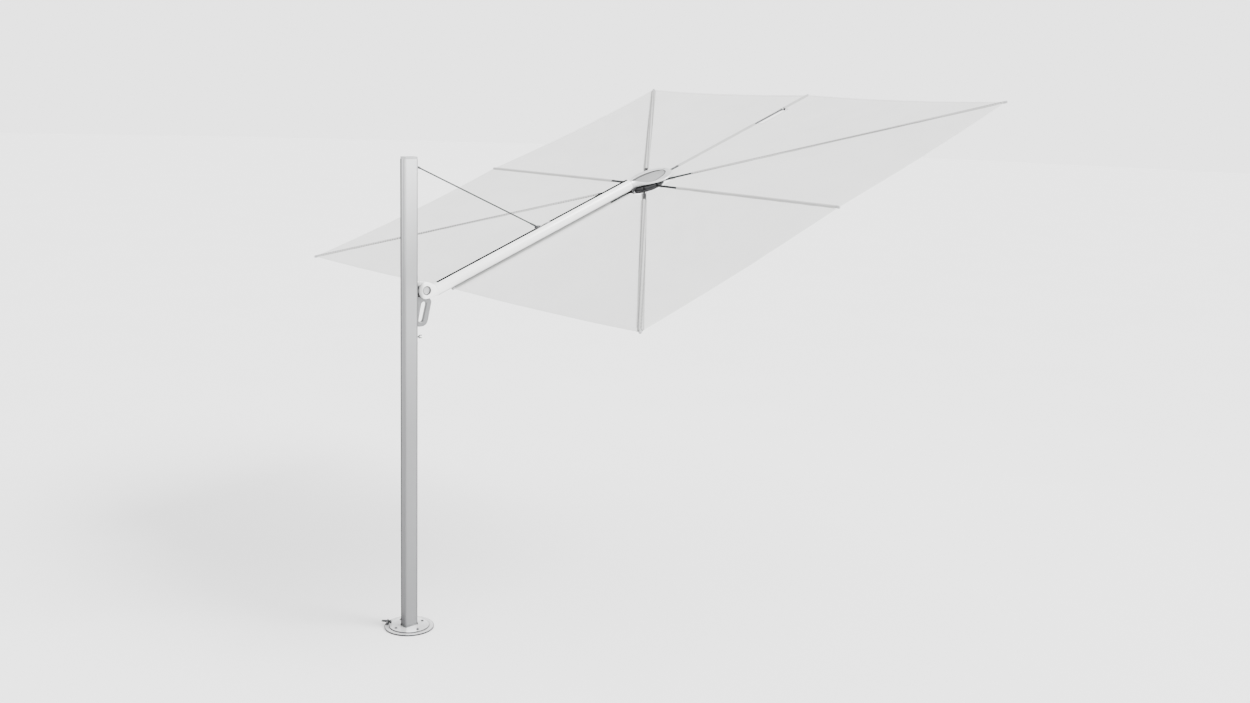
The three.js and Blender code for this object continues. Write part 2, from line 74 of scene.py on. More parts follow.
def on_boom(x, y, z):
    """A point in the boom's frame: along it from the hinge, across it, and square to both."""
    return HINGE + ALONG * x + ACROSS * y + UP * z


def place(origin, z_axis, x_axis):
    """A matrix that puts local Z and X on two directions at right angles."""
    z, x = Vector(z_axis).normalized(), Vector(x_axis).normalized()
    return Matrix.Translation(origin) @ Matrix((x, z.cross(x), z)).transposed().to_4x4()


def spread(nodes, direction, origin=Vector()):
    """How far some CAD nodes reach along a direction, as (least, most)."""
    reach = [(v.co - origin).dot(direction) for n in nodes for v in frame["nodes"][n].data.vertices]
    return min(reach), max(reach)


PANELS = [f"canopy_panel_{k}" for k in RIBS]
NEAR_EDGE, FAR_EDGE = spread(PANELS, ALONG, HUB)
SIDE_EDGE = spread(PANELS, ACROSS)[1]


def smooth(t):
    t = max(0.0, min(1.0, t))
    return t * t * (3 - 2 * t)


def mix(a, b, t):
    return a + (b - a) * t


def linked(name, data):
    """A new object in the scene that shows a camera, a light, a curve or a mesh."""
    made = bpy.data.objects.new(name, data)
    bpy.context.scene.collection.objects.link(made)
    return made


# ---- camera, light and surroundings
CAMERA_PLACE, CAMERA_LENS, SENSOR_WIDTH = (-3.7398, -5.8836, 2.9582), 38.2653, 36
CAMERA_TURN = (48.1455, -11.3013, 1.835)  # yaw, pitch and roll in degrees
KEY_WAY, KEY_STRENGTH, KEY_SPREAD = Vector((0.45, -0.60, 0.66)).normalized(), 6.0, radians(24)
SKY = [(0.0, 3.0), (0.24, 3.0), (0.42, 0.7), (0.62, 0.8), (0.85, 3.0), (1.0, 3.2)]  # radiance by height
GLOW_START, GLOW_FULL, GLOW_POWER = 0.6, 0.97, 1.6  # cosines of the angle from the key light, and radiance


def make_camera():
    yaw, pitch, roll = (radians(angle) for angle in CAMERA_TURN)
    forward = Vector((cos(pitch) * cos(yaw), cos(pitch) * sin(yaw), sin(pitch)))
    level = Vector((sin(yaw), -cos(yaw), 0))
    upright = level.cross(forward)
    right = level * cos(roll) + upright * sin(roll)
    data = bpy.data.cameras.new("camera")
    data.lens, data.sensor_width = CAMERA_LENS, SENSOR_WIDTH
    camera = linked("camera", data)
    camera.matrix_world = place(Vector(CAMERA_PLACE), -forward, right)
    bpy.context.scene.camera = camera


def make_key_light():
    """One broad light, from the canopy's side of the mast and above."""
    data = bpy.data.lights.new("key", "SUN")
    data.energy, data.angle = KEY_STRENGTH, KEY_SPREAD
    linked("key", data).rotation_euler = (-KEY_WAY).to_track_quat("-Z", "Y").to_euler()


class Nodes:
    """A node tree with short ways to add to it. `coordinates` says where on its surface a point lies."""

    def __init__(self, owner, coordinates):
        owner.use_nodes = True
        self.tree = owner.node_tree
        self.coordinates = self.node("ShaderNodeTexCoord").outputs[coordinates]

    def node(self, kind, **inputs):
        made = self.tree.nodes.new(kind)
        for socket, value in inputs.items():
            self.feed(made.inputs[socket.replace("_", " ")], value)
        return made

    def feed(self, socket, value):
        if isinstance(value, bpy.types.NodeSocket):
            self.tree.links.new(value, socket)
        else:
            socket.default_value = value

    def maths(self, operation, *values):
        made = self.tree.nodes.new("ShaderNodeMath")
        made.operation = operation
        for socket, value in zip(made.inputs, values):
            self.feed(socket, value)
        return made.outputs["Value"]

    def along(self, way):
        """How far the coordinates reach along a direction."""
        dot = self.tree.nodes.new("ShaderNodeVectorMath")
        dot.operation = "DOT_PRODUCT"
        self.feed(dot.inputs[0], self.coordinates)
        self.feed(dot.inputs[1], way)
        return dot.outputs["Value"]

    def ramp(self, value, stops):
        """Colours along a value between 0 and 1, as (place, grey or colour) pairs."""
        made = self.node("ShaderNodeValToRGB", Fac=value)
        elements = made.color_ramp.elements
        while len(elements) < len(stops):
            elements.new(0.5)
        for element, (at, colour) in zip(elements, stops):
            element.position = at
            element.color = (*colour, 1) if isinstance(colour, tuple) else (colour, colour, colour, 1)
        return made.outputs["Color"]


def make_world():
    """A white cyclorama with a softbox overhead and a broad glow on the key light's side."""
    world = bpy.data.worlds.new("studio")
    nodes = Nodes(world, "Generated")
    brightest = max(power for _, power in SKY)
    sky = nodes.ramp(nodes.along(WORLD_Z), [(height, power / brightest) for height, power in SKY])
    glow = nodes.node("ShaderNodeMapRange", Value=nodes.along(KEY_WAY), From_Min=GLOW_START,
                      From_Max=GLOW_FULL, To_Max=GLOW_POWER / brightest)
    glow.interpolation_type = "SMOOTHSTEP"
    background = nodes.tree.nodes["Background"].inputs
    nodes.feed(background["Color"], nodes.maths("ADD", sky, glow.outputs["Result"]))
    nodes.feed(background["Strength"], brightest)
    bpy.context.scene.world = world


# ---- materials
class Finish(Nodes):
    """A procedural material: a Principled shader and the texture nodes that feed it."""

    def __init__(self, name, roughness, metallic=0.0, **sockets):
        self.material = bpy.data.materials.new(name)
        super().__init__(self.material, "Object")
        self.shader = self.tree.nodes["Principled BSDF"].inputs
        for socket, value in {"Roughness": roughness, "Metallic": metallic, **sockets}.items():
            self.shader[socket.replace("_", " ")].default_value = value
        self.normal = None

    def noise(self, scale, detail=3.0, stretch=(1, 1, 1)):
        """Noise between 0 and 1, with `scale` cells to the metre times a factor for each axis."""
        spot = self.node("ShaderNodeMapping", Vector=self.coordinates, Scale=stretch).outputs["Vector"]
        return self.node("ShaderNodeTexNoise", Vector=spot, Scale=scale, Detail=detail).outputs["Fac"]

    def blend(self, factor, a, b):
        made = self.tree.nodes.new("ShaderNodeMix")
        made.data_type = "RGBA"
        self.feed(made.inputs["Factor"], factor)
        self.feed(made.inputs["A"], a)
        self.feed(made.inputs["B"], b)
        return made.outputs["Result"]

    def colour(self, value):
        self.feed(self.shader["Base Color"], value)

    def roughness(self, value, low, high):
        made = self.node("ShaderNodeMapRange", Value=value, To_Min=low, To_Max=high)
        self.feed(self.shader["Roughness"], made.outputs["Result"])

    def toward(self, way, start, end, most=1.0):
        """Rises from 0 to `most` as the object's coordinates go from `start` to `end` along a direction."""
        return self.node("ShaderNodeMapRange", Value=self.along(way), From_Min=start, From_Max=end,
                         To_Max=most).outputs["Result"]

    def bump(self, height, depth, strength):
        """Adds relief: `depth` metres between a height of 0 and of 1."""
        made = self.node("ShaderNodeBump", Height=height, Distance=depth, Strength=strength)
        if self.normal:
            self.feed(made.inputs["Normal"], self.normal)
        self.normal = made.outputs["Normal"]
        self.feed(self.shader["Normal"], self.normal)

    def worn_edges(self, colour, worn, amount):
        """Lightens sharp convex edges, where handling polishes the coat away."""
        point = self.node("ShaderNodeNewGeometry").outputs["Pointiness"]
        edge = self.ramp(point, [(0.52, 0.0), (0.62, amount)])
        return self.blend(edge, colour, (*worn, 1))


def darker(colour, share):
    return (*[c * share for c in colour], 1)


def two_tone(finish, low, high, scale, detail=3.0, stretch=(1, 1, 1)):
    """A colour that drifts between two tones."""
    return finish.ramp(finish.noise(scale, detail, stretch), [(0.3, low), (0.7, high)])


def drawn_alloy():
    """Anodised extrusion, with fine lines from the die along the mast, and painted shade towards its foot and
    on its rear and front edges.
    """
    finish = Finish("mast_alloy", 0.34, 0.85, IOR=1.5)
    lines = finish.noise(420, 4.0, (1, 1, 0.004))
    drift = two_tone(finish, (0.64, 0.644, 0.65), (0.70, 0.704, 0.71), 2.2, 2.0, (1, 1, 0.4))
    drawn = finish.blend(finish.ramp(lines, [(0.35, 0.0), (0.7, 0.16)]), drift, (0.76, 0.763, 0.767, 1))
    # Painted shade: the colour darkens towards the mast's foot.
    height = finish.toward(WORLD_Z, 0, 2.55)
    painted_shade_by_height = finish.ramp(height, [(0.0, 0.87), (0.45, 0.77), (0.75, 0.60), (1.0, 0.0)])
    tone = finish.blend(painted_shade_by_height, drawn, (0.10, 0.102, 0.105, 1))
    # Painted shade: the rear face, the front edge and the far rear corner are darkened towards black.
    rear, front = finish.toward(-WORLD_X, 0.028, 0.040, 0.35), finish.toward(WORLD_X, 0.029, 0.033, 0.5)
    far_edge = finish.maths("MULTIPLY", finish.toward(-WORLD_X, 0.034, 0.036),
                            finish.toward(ACROSS, 0.0065, 0.0085, 0.97))
    for amount in (rear, front, far_edge):
        tone = finish.blend(amount, tone, (0.03, 0.031, 0.032, 1))
    finish.colour(tone)
    finish.roughness(lines, 0.27, 0.42)
    finish.bump(lines, 0.00004, 0.5)
    return finish.material


def powder_coat(name, low, high, roughness, orange_peel=0.00005, metallic=0.0, rim=None):
    """Powder coat with a faint orange peel, with painted shade on a rim (way, start, end) if one is given."""
    finish = Finish(name, roughness, metallic, IOR=1.5, Coat_Weight=0.25, Coat_Roughness=0.12)
    tone = two_tone(finish, low, high, 3.0, 4.0)
    if rim:
        # Painted shade: darker along the rim's way, from its start to its end.
        tone = finish.blend(finish.toward(*rim, 0.8), tone, (0.20, 0.201, 0.203, 1))
    finish.colour(finish.worn_edges(tone, tuple(c * 0.93 for c in low), 0.35))
    finish.roughness(finish.noise(9, 5.0), roughness * 0.8, roughness * 1.25)
    finish.bump(finish.noise(900, 2.0), orange_peel, 0.6)
    finish.bump(finish.noise(30, 2.0), orange_peel * 3, 0.3)
    return finish.material


def cast_alloy(name, low, high, roughness=0.42, metallic=0.55):
    """Die-cast alloy under lacquer: a fine sandy grain and slight clouding."""
    finish = Finish(name, roughness, metallic, IOR=1.5)
    tone = two_tone(finish, low, high, 14, 5.0)
    finish.colour(finish.worn_edges(tone, (0.88, 0.885, 0.89), 0.4))
    finish.roughness(finish.noise(60, 4.0), roughness * 0.85, roughness * 1.2)
    finish.bump(finish.noise(1400, 3.0), 0.00009, 0.6)
    return finish.material


def dark_coat(name, low, high, roughness, worn):
    finish = Finish(name, roughness, 0.0, IOR=1.5, Specular_IOR_Level=0.22)
    tone = two_tone(finish, low, high, 40, 5.0)
    finish.colour(finish.worn_edges(tone, worn, 0.6))
    finish.roughness(finish.noise(120, 4.0), roughness * 0.8, roughness * 1.25)
    finish.bump(finish.noise(1800, 3.0), 0.00008, 0.7)
    return finish.material


def moulded_plastic(name, low, high, roughness, specular=0.5):
    """Injection moulding with a spark-eroded grain."""
    finish = Finish(name, roughness, 0.0, IOR=1.46, Specular_IOR_Level=specular)
    grain = finish.node("ShaderNodeTexVoronoi", Vector=finish.coordinates, Scale=1600.0).outputs["Distance"]
    tone = two_tone(finish, low, high, 25, 4.0)
    finish.colour(finish.blend(finish.ramp(grain, [(0.2, 0.0), (0.8, 0.12)]), tone, darker(low, 0.8)))
    finish.roughness(finish.noise(90, 3.0), roughness * 0.85, roughness * 1.15)
    finish.bump(grain, 0.00006, 0.5)
    return finish.material


def ground_steel(name, low, high, roughness, stretch):
    """Steel ground lengthwise, with scratches along one axis."""
    finish = Finish(name, roughness, 1.0)
    scratches = finish.noise(700, 5.0, stretch)
    finish.colour(finish.ramp(scratches, [(0.3, low), (0.72, high)]))
    finish.roughness(scratches, roughness * 0.7, roughness * 1.4)
    finish.bump(scratches, 0.00003, 0.5)
    return finish.material


def woven_cloth(name, low, high, pitch=0.0016, relief=0.00025, contrast=0.10, shade=0.82):
    """Plain-woven awning cloth: crossing yarns, uneven yarn thickness and a soft matt face."""
    finish = Finish(name, 0.88, 0.0, IOR=1.4, Sheen_Weight=0.12, Sheen_Roughness=0.5)
    waves = [finish.maths("SINE", finish.along(way * (2 * pi / pitch))) for way in (ALONG, ACROSS)]
    weave = finish.maths("MULTIPLY_ADD", *waves, 0.5)
    tone = two_tone(finish, low, high, 3.5, 5.0)
    for stretch in ((1, 0.06, 1), (0.06, 1, 0.06)):
        slub = finish.ramp(finish.noise(160, 4.0, stretch), [(0.35, 0.0), (0.75, 0.22)])
        tone = finish.blend(slub, tone, darker(low, 0.95))
    finish.colour(finish.blend(finish.ramp(weave, [(0.0, contrast), (0.6, 0.0)]), tone, darker(low, shade)))
    finish.bump(weave, relief, 0.5)
    finish.bump(finish.noise(22, 4.0), 0.0012, 0.25)
    return finish.material


def floor_paint():
    finish = Finish("floor_paint", 0.6)
    finish.colour(two_tone(finish, (0.90, 0.90, 0.90), (0.92, 0.92, 0.92), 0.8))
    finish.roughness(finish.noise(3, 4.0), 0.5, 0.7)
    return finish.material


MAST_ALLOY = drawn_alloy()
WHITE = (0.84, 0.84, 0.835), (0.87, 0.87, 0.865), 0.30
WHITE_COAT = powder_coat("white_coat", *WHITE)
# Painted shade on the boom tube's underside.
TUBE_COAT = powder_coat("tube_coat_painted_shade", *WHITE, rim=(-UP, 0.0485 - HINGE.dot(UP), 0.0540 - HINGE.dot(UP)))
# Painted shade on the knuckle's side that faces the mast.
KNUCKLE_COAT = powder_coat("knuckle_coat_painted_shade", *WHITE, rim=(-WORLD_X, 0.012 - HINGE.x, 0.034 - HINGE.x))
PLATE_COAT = powder_coat("plate_coat", (0.84, 0.845, 0.85), (0.88, 0.885, 0.89), 0.10, 0.00002, 0.5)
CAST_ALLOY = cast_alloy("cast_alloy", (0.60, 0.605, 0.61), (0.66, 0.665, 0.67), 0.38, 0.35)
# Painted shade: darker copies of the cast alloy for the head's hollow, mid-grey on its floor and nearly black
# on its walls.
RECESS_PAINTED_SHADE = cast_alloy("recess_floor_painted_shade", (0.40, 0.403, 0.407), (0.46, 0.463, 0.467), 0.34, 0.5)
RECESS_WALL_PAINTED_SHADE = cast_alloy("recess_wall_painted_shade", (0.045, 0.0455, 0.046), (0.07, 0.0705, 0.071), 0.40, 0.3)
HANDLE_ALLOY = cast_alloy("handle_alloy", (0.15, 0.152, 0.155), (0.19, 0.192, 0.195), 0.34, 0.6)
CAP_ALLOY = cast_alloy("hinge_cap_alloy", (0.38, 0.383, 0.387), (0.44, 0.443, 0.447), 0.34, 0.6)
# Painted shade: near-black strips along the boom's top and underside stand in for the dark lines of shade
# there.
EDGE_SHADE_STRIP = moulded_plastic("boom_edge_painted_shade", (0.010, 0.0105, 0.011), (0.018, 0.0185, 0.019), 0.9, 0.0)
DARK_CAST = dark_coat("dark_cast", (0.018, 0.018, 0.019), (0.030, 0.030, 0.032), 0.42, (0.22, 0.22, 0.23))
BLACK_PLASTIC = moulded_plastic("black_plastic", (0.014, 0.014, 0.015), (0.024, 0.024, 0.026), 0.5, 0.25)
GREY_PLASTIC = moulded_plastic("grey_plastic", (0.34, 0.345, 0.35), (0.40, 0.405, 0.41), 0.5)
NYLON = moulded_plastic("nylon", (0.70, 0.69, 0.64), (0.76, 0.75, 0.70), 0.55)
STEEL = ground_steel("steel", (0.34, 0.345, 0.35), (0.50, 0.505, 0.51), 0.3, (0.05, 1, 0.05))
SPIGOT_STEEL = ground_steel("spigot_steel", (0.40, 0.405, 0.41), (0.55, 0.555, 0.56), 0.32, (1, 1, 0.03))
STAY_STEEL = ground_steel("stay_steel", (0.050, 0.051, 0.053), (0.085, 0.087, 0.09), 0.38, (0.05, 1, 0.05))
RIB_ALLOY = ground_steel("rib_alloy", (0.030, 0.031, 0.032), (0.060, 0.061, 0.063), 0.36, (0.3, 0.3, 0.3))
CLOTH = woven_cloth("canopy_cloth", (0.70, 0.70, 0.695), (0.74, 0.74, 0.735))
# Painted shade: the sleeve cloths are darker copies of the canopy cloth, darkest on the ribs to the middle of
# each side.
SHADED_SLEEVE_CLOTH = woven_cloth("sleeve_cloth_painted_shade", (0.36, 0.36, 0.355), (0.42, 0.42, 0.415))
SHADED_LACED_CLOTH = woven_cloth("laced_cloth_painted_shade", (0.40, 0.40, 0.395), (0.46, 0.46, 0.455), 0.022, 0.0005, 1.0, 0.3)
THREAD = woven_cloth("thread", (0.42, 0.42, 0.415), (0.55, 0.55, 0.54), 0.0006, 0.0001)


# ---- mesh helpers
@contextmanager
def editing(mesh):
    """A mesh opened for editing, and written back afterwards."""
    shell = bmesh.new()
    shell.from_mesh(mesh)
    yield shell
    shell.to_mesh(mesh)
    shell.free()


def shade(piece, sharp=35):
    """Smooth shading, with a crease wherever two faces meet at more than `sharp` degrees."""
    piece.data.shade_smooth()
    piece.data.set_sharp_from_angle(angle=radians(sharp))
    return piece


def paint(mesh, material):
    mesh.materials.clear()
    mesh.materials.append(material)


def coated(name, mesh, material):
    """An object that shows a mesh in one material."""
    paint(mesh, material)
    return linked(name, mesh)


def mesh_object(name, vertices, faces, material, sharp=35):
    mesh = bpy.data.meshes.new(name)
    mesh.from_pydata([tuple(v) for v in vertices], [], faces)
    with editing(mesh) as shell:
        bmesh.ops.recalc_face_normals(shell, faces=shell.faces)
    return shade(coated(name, mesh, material), sharp)


def evaluated(piece):
    """The mesh that a piece's curve or modifiers give."""
    return bpy.data.meshes.new_from_object(piece.evaluated_get(bpy.context.evaluated_depsgraph_get()))


def settle(piece, sharp=35):
    """Makes the modifiers' result the piece's own mesh."""
    mesh = evaluated(piece)
    piece.modifiers.clear()
    piece.data = mesh
    return shade(piece, sharp)


def bend(start, control, end, steps):
    """Points along a curve that leaves the start and reaches the end towards a control point."""
    steps = [i / steps for i in range(steps + 1)]
    return [start * (1 - t) ** 2 + control * 2 * t * (1 - t) + end * t * t for t in steps]


def rounded(points, steps=5, closed=True):
    """An outline whose corners (x, y, fillet) are rounded where a fillet is given."""
    outline = []
    for i, (x, y, *fillet) in enumerate(points):
        here = Vector((x, y))
        if not any(fillet) or (not closed and i in (0, len(points) - 1)):
            outline.append(here)
            continue
        before, after = Vector(points[i - 1][:2]) - here, Vector(points[(i + 1) % len(points)][:2]) - here
        size = min(fillet[0], 0.48 * before.length, 0.48 * after.length)
        outline += bend(here + before.normalized() * size, here, here + after.normalized() * size, steps)
    return outline


def drawn(start, *moves):
    """An outline from straight moves (x, y) and curves (control x, control y, x, y)."""
    outline = [Vector(start)]
    for move in moves:
        end = Vector(move[-2:])
        outline += bend(outline[-1], Vector(move[:2]), end, 8)[1:] if len(move) > 2 else [end]
    return outline


def lathe(name, profile, where, material, sides=96, closed=False, scale=None):
    """Turns (radius, height) pairs about local Z. `scale` can change a radius with the angle."""
    vertices, rows = [], []
    for radius, height in profile:
        count = sides if radius > 1e-7 else 1
        rows.append([len(vertices) + side % count for side in range(sides)])
        for angle in (2 * pi * side / sides for side in range(count)):
            r = radius * (scale(angle, radius) if scale else 1)
            vertices.append(where @ Vector((r * cos(angle), r * sin(angle), height)))
    faces = []
    for low, high in zip(rows, rows[1:] + rows[:closed]):
        for side in range(sides):
            after = (side + 1) % sides
            corners = [low[side], low[after], high[after], high[side]]
            faces.append([c for i, c in enumerate(corners) if c != corners[i - 1]])
    return mesh_object(name, vertices, [face for face in faces if len(face) > 2], material)


def turned(name, points, where, material, sides=96, steps=4, **more):
    """Lathes a section whose corners are rounded: solid if it starts on the axis, and a ring if not."""
    ring = points[0][0] > 0
    return lathe(name, rounded(points, steps, ring), where, material, sides, closed=ring, **more)


def plate(name, outlines, thickness, where, material, bevel=0.001, steps=3):
    """A flat piece with rounded edges, from an outline and any holes in it, centred on its own plane."""
    curve = bpy.data.curves.new(name, "CURVE")
    curve.dimensions, curve.fill_mode = "2D", "BOTH"
    curve.extrude, curve.bevel_depth = thickness / 2 - bevel, bevel
    curve.bevel_resolution, curve.offset = steps, -bevel
    for outline in outlines:
        spline = curve.splines.new("POLY")
        spline.points.add(len(outline) - 1)
        for point, (x, y) in zip(spline.points, outline):
            point.co = (x, y, 0, 1)
        spline.use_cyclic_u = True
    source = linked(name + "_outline", curve)
    bpy.context.view_layer.update()
    mesh = evaluated(source)
    bpy.data.objects.remove(source)
    mesh.transform(where)
    with editing(mesh) as shell:
        bmesh.ops.remove_doubles(shell, verts=shell.verts, dist=1e-6)
        bmesh.ops.recalc_face_normals(shell, faces=shell.faces)
    return shade(coated(name, mesh, material))


def extruded(name, outline, low, high, where, material, sharp=35):
    """An outline drawn along local Z with square ends."""
    count = len(outline)
    vertices = [where @ Vector((x, y, z)) for z in (low, high) for x, y in outline]
    sides = [[i, (i + 1) % count, count + (i + 1) % count, count + i] for i in range(count)]
    ends = [list(range(count)), list(range(count, 2 * count))]
    return mesh_object(name, vertices, sides + ends, material, sharp)


def loft(name, rings, material, sharp=35):
    """Skins closed rings of points, one after the other, and closes both ends."""
    count = len(rings[0])
    last = (len(rings) - 1) * count
    faces = [[r + i, r + (i + 1) % count, r + count + (i + 1) % count, r + count + i]
             for r in range(0, last, count) for i in range(count)]
    faces += [list(range(count)), list(range(last, last + count))]
    return mesh_object(name, [point for ring in rings for point in ring], faces, material, sharp)


def hull(name, points, material):
    mesh = bpy.data.meshes.new(name)
    with editing(mesh) as shell:
        for point in points:
            shell.verts.new(point)
        bmesh.ops.convex_hull(shell, input=shell.verts)
        bmesh.ops.delete(shell, geom=[v for v in shell.verts if not v.link_faces], context="VERTS")
    return coated(name, mesh, material)


def combine(piece, others, operation="DIFFERENCE"):
    """Cuts other pieces out of one, or joins them to it. The others are used up."""
    for other in others:
        modifier = piece.modifiers.new("combine", "BOOLEAN")
        modifier.operation, modifier.object, modifier.solver = operation, other, "EXACT"
        settle(piece)
        bpy.data.objects.remove(other)
    return piece


def cast(piece, voxel, rounds):
    """Melts a piece's edges together, as in a casting."""
    remesh = piece.modifiers.new("remesh", "REMESH")
    remesh.mode, remesh.voxel_size = "VOXEL", voxel
    soften = piece.modifiers.new("soften", "SMOOTH")
    soften.factor, soften.iterations = 0.5, rounds
    return settle(piece, 60)


def copied(node, material):
    """A copy of a CAD node's mesh, with its shared corners merged."""
    mesh = frame["nodes"][node].data.copy()
    with editing(mesh) as shell:
        bmesh.ops.remove_doubles(shell, verts=shell.verts, dist=2e-6)
        bmesh.ops.dissolve_limit(shell, angle_limit=radians(1), verts=shell.verts, edges=shell.edges)
    for layer in [a.name for a in mesh.attributes if a.name == "custom_normal"]:
        mesh.attributes.remove(mesh.attributes[layer])
    return coated(node + "_fine", mesh, material)


def eased(node, material, width, segments):
    """A CAD node's shape with its sharp edges eased."""
    piece = copied(node, material)
    bevel = piece.modifiers.new("ease", "BEVEL")
    bevel.width, bevel.segments, bevel.limit_method = width, segments, "ANGLE"
    bevel.angle_limit, bevel.use_clamp_overlap = radians(32), True
    return settle(piece, 30)


def seat(piece, body, slot, *nodes):
    """Fixes a finished piece to its body and hides the CAD nodes that it stands for. Its finish, `slot`, is
    not used.
    """
    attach(piece, body)
    if nodes:
        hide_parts(*nodes)


def ring_about(centre, axis_a, axis_b, radius, count):
    angles = [2 * pi * i / count for i in range(count)]
    return [centre + axis_a * (radius * cos(a)) + axis_b * (radius * sin(a)) for a in angles]


def cylinder(name, start, end, radius, material, sides=64, bevel=0.0):
    """A round bar with eased ends, from one point to another."""
    axis = end - start
    section = [(0, 0), (radius, 0, bevel), (radius, axis.length, bevel), (0, axis.length)]
    return turned(name, section, place(start, axis, axis.orthogonal()), material, sides)


# ---- base
GROUND = place(Vector(), WORLD_Z, WORLD_X)


PLATE_EDGE, DISC_EDGE, TOP_GAP = 0.0030, 0.0020, 0.0001  # the painted-shade edges' width on top, and a hair's gap


def make_base():
    """A polished plate and turntable, each inside a dark band of painted shade that runs round its edge."""
    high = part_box("base_plate")[1]
    rim, radius, top = high.x, high.x - PLATE_EDGE, high.z - TOP_GAP
    floor = spread(["base_plate"], WORLD_Z)[1] - 0.0005
    dish = [(0, 0), (radius, 0), (radius, top, 0.0003), (rim - 0.022, top, 0.0005),
            (rim - 0.0226, floor, 0.0003), (0, floor)]
    seat(turned("base_plate_fine", dish, GROUND, PLATE_COAT, 160), "base", "plate_coat", "base_plate")
    band = [(radius, 0.0003), (rim, 0.0003, 0.0008), (rim, high.z, 0.0014), (radius, high.z)]
    seat(turned("base_edge_shade_band", band, GROUND, DARK_CAST, 160, 3), "base", "dark_cast")
    low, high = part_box("turntable_disc")
    rim, radius, top, under, bore = high.x, high.x - DISC_EDGE, high.z - TOP_GAP, low.z + 0.0003, 0.0196
    disc = [(bore, low.z), (radius, low.z), (radius, top, 0.0003), (bore, top)]
    seat(turned("turntable_disc_fine", disc, GROUND, PLATE_COAT, 160), "mast", "plate_coat", "turntable_disc")
    disc_shade_band = [(radius, under), (rim, under, 0.0004), (rim, high.z, 0.0008), (radius, high.z)]
    seat(turned("turntable_edge_shade_band", disc_shade_band, GROUND, DARK_CAST, 160, 3), "mast", "dark_cast")


def make_screw(k):
    """A low-headed screw with a hexagon socket."""
    node = f"turntable_screw_{k}"
    low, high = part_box(node)
    centre = (low + high) / 2
    radius, top, head, socket, socket_depth = (high.x - low.x) / 2, high.z, 0.0046, 0.0029, 0.0028

    def hexagon(angle, r):
        return 1 / cos((angle % (pi / 3)) - pi / 6) * cos(pi / 6) if r <= socket * 1.1 else 1

    section = [(0, top - head), (radius, top - head), (radius, top - head + 0.0018, 0.0006),
               (radius - 0.0022, top - 0.0006, 0.0012), (socket * 1.3, top, 0.0003), (socket, top - 0.0003),
               (socket, top - socket_depth), (0, top - socket_depth - 0.0004)]
    where = place(Vector((centre.x, centre.y, 0)), WORLD_Z, WORLD_X)
    seat(turned(node + "_fine", section, where, DARK_CAST, 48, scale=hexagon), "mast", "dark_cast", node)


# ---- mast
GROOVE_IN, GROOVE_HALF, GROOVE_DEPTH = 0.0147, 0.0023, 0.0014  # from the mast's side; half width; depth
LINE_HALF, LINE_SUNK = 0.0019, 0.0003  # the dark strip of painted shade in each groove


def mast_outline(depth, width, wall, corner, slot):
    """One extruded section: an open channel with a shadow line near each rear corner."""
    x, y = depth / 2, width / 2
    half = [(x, slot / 2), (x, y, corner), (-x, y, corner), (-x, y - GROOVE_IN + GROOVE_HALF),
            (GROOVE_DEPTH - x, y - GROOVE_IN), (-x, y - GROOVE_IN - GROOVE_HALF)]
    inner = [(wall - x, y - wall, corner - wall), (x - wall, y - wall, corner - wall), (x - wall, slot / 2)]
    mirrored, inner_mirrored = ([(x, -y, *fillet) for x, y, *fillet in part[::-1]] for part in (half, inner))
    return rounded(half + mirrored + inner_mirrored + inner, 6)


def make_mast():
    low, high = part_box("mast_tube")
    outline = mast_outline(high.x - low.x, high.y - low.y, wall=0.003, corner=0.009, slot=0.019)
    tube = extruded("mast_tube_fine", outline, low.z, high.z, GROUND, MAST_ALLOY, 30)
    seat(tube, "mast", "mast_alloy", "mast_tube")
    # Painted shade: a dark strip in each rear groove.
    for side, name in ((1, "mast_groove_shade_left"), (-1, "mast_groove_shade_right")):
        middle, rear, bottom = side * (high.y - GROOVE_IN), low.x + LINE_SUNK, low.x + GROOVE_DEPTH - 0.0001
        line = [(rear, middle - LINE_HALF), (rear, middle + LINE_HALF), (bottom, middle)]
        seat(extruded(name, line, low.z + 0.001, high.z - 0.001, GROUND, DARK_CAST), "mast", "dark_cast")


def make_stay():
    """A drawn rod with a threaded ferrule and an eye at each end."""
    upper, lower = pivot("stay_swing"), pivot("boom_swing")
    way = (lower - upper).normalized()
    rod = cylinder("stay_rod_fine", upper + way * 0.008, lower - way * 0.006, 0.0040, STAY_STEEL, 32)
    parts = [cylinder("ferrule", upper + way * 0.012, upper + way * 0.046, 0.0058, STAY_STEEL, 32, 0.0012),
             cylinder("ferrule", lower - way * 0.052, lower - way * 0.018, 0.0056, STAY_STEEL, 32, 0.0012)]
    for centre, half, radius, bore in ((upper, 0.006, 0.009, 0.0044), (lower, 0.0046, 0.0065, 0.0034)):
        section = [(bore, -half), (radius, -half, 0.001), (radius, half, 0.001), (bore, half)]
        parts.append(turned("eye", section, place(centre, ACROSS, WORLD_X), STAY_STEEL, 48, 3))
    seat(combine(rod, parts, "UNION"), "stay", "steel", "stay_rod")


# ---- carriage, handle and hinge
PIN_BORE = 0.0083  # radius of the bores that the hinge pin runs in


def make_hinge_caps():
    for side, node in ((1, "hinge_cap_left"), (-1, "hinge_cap_right")):
        low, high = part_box(node)
        inner, outer = sorted((abs(low.y), abs(high.y)))
        radius = (high.x - low.x) / 2
        section = [(0, inner), (radius, inner), (radius, outer, 0.0012), (radius * 0.80, outer, 0.0004),
                   (radius * 0.77, outer - 0.0007, 0.0004), (0, outer - 0.0003)]
        cap = turned(node + "_fine", section, place(HINGE, ACROSS * side, WORLD_X), CAP_ALLOY)
        seat(cap, "carriage", "cast_alloy", node)


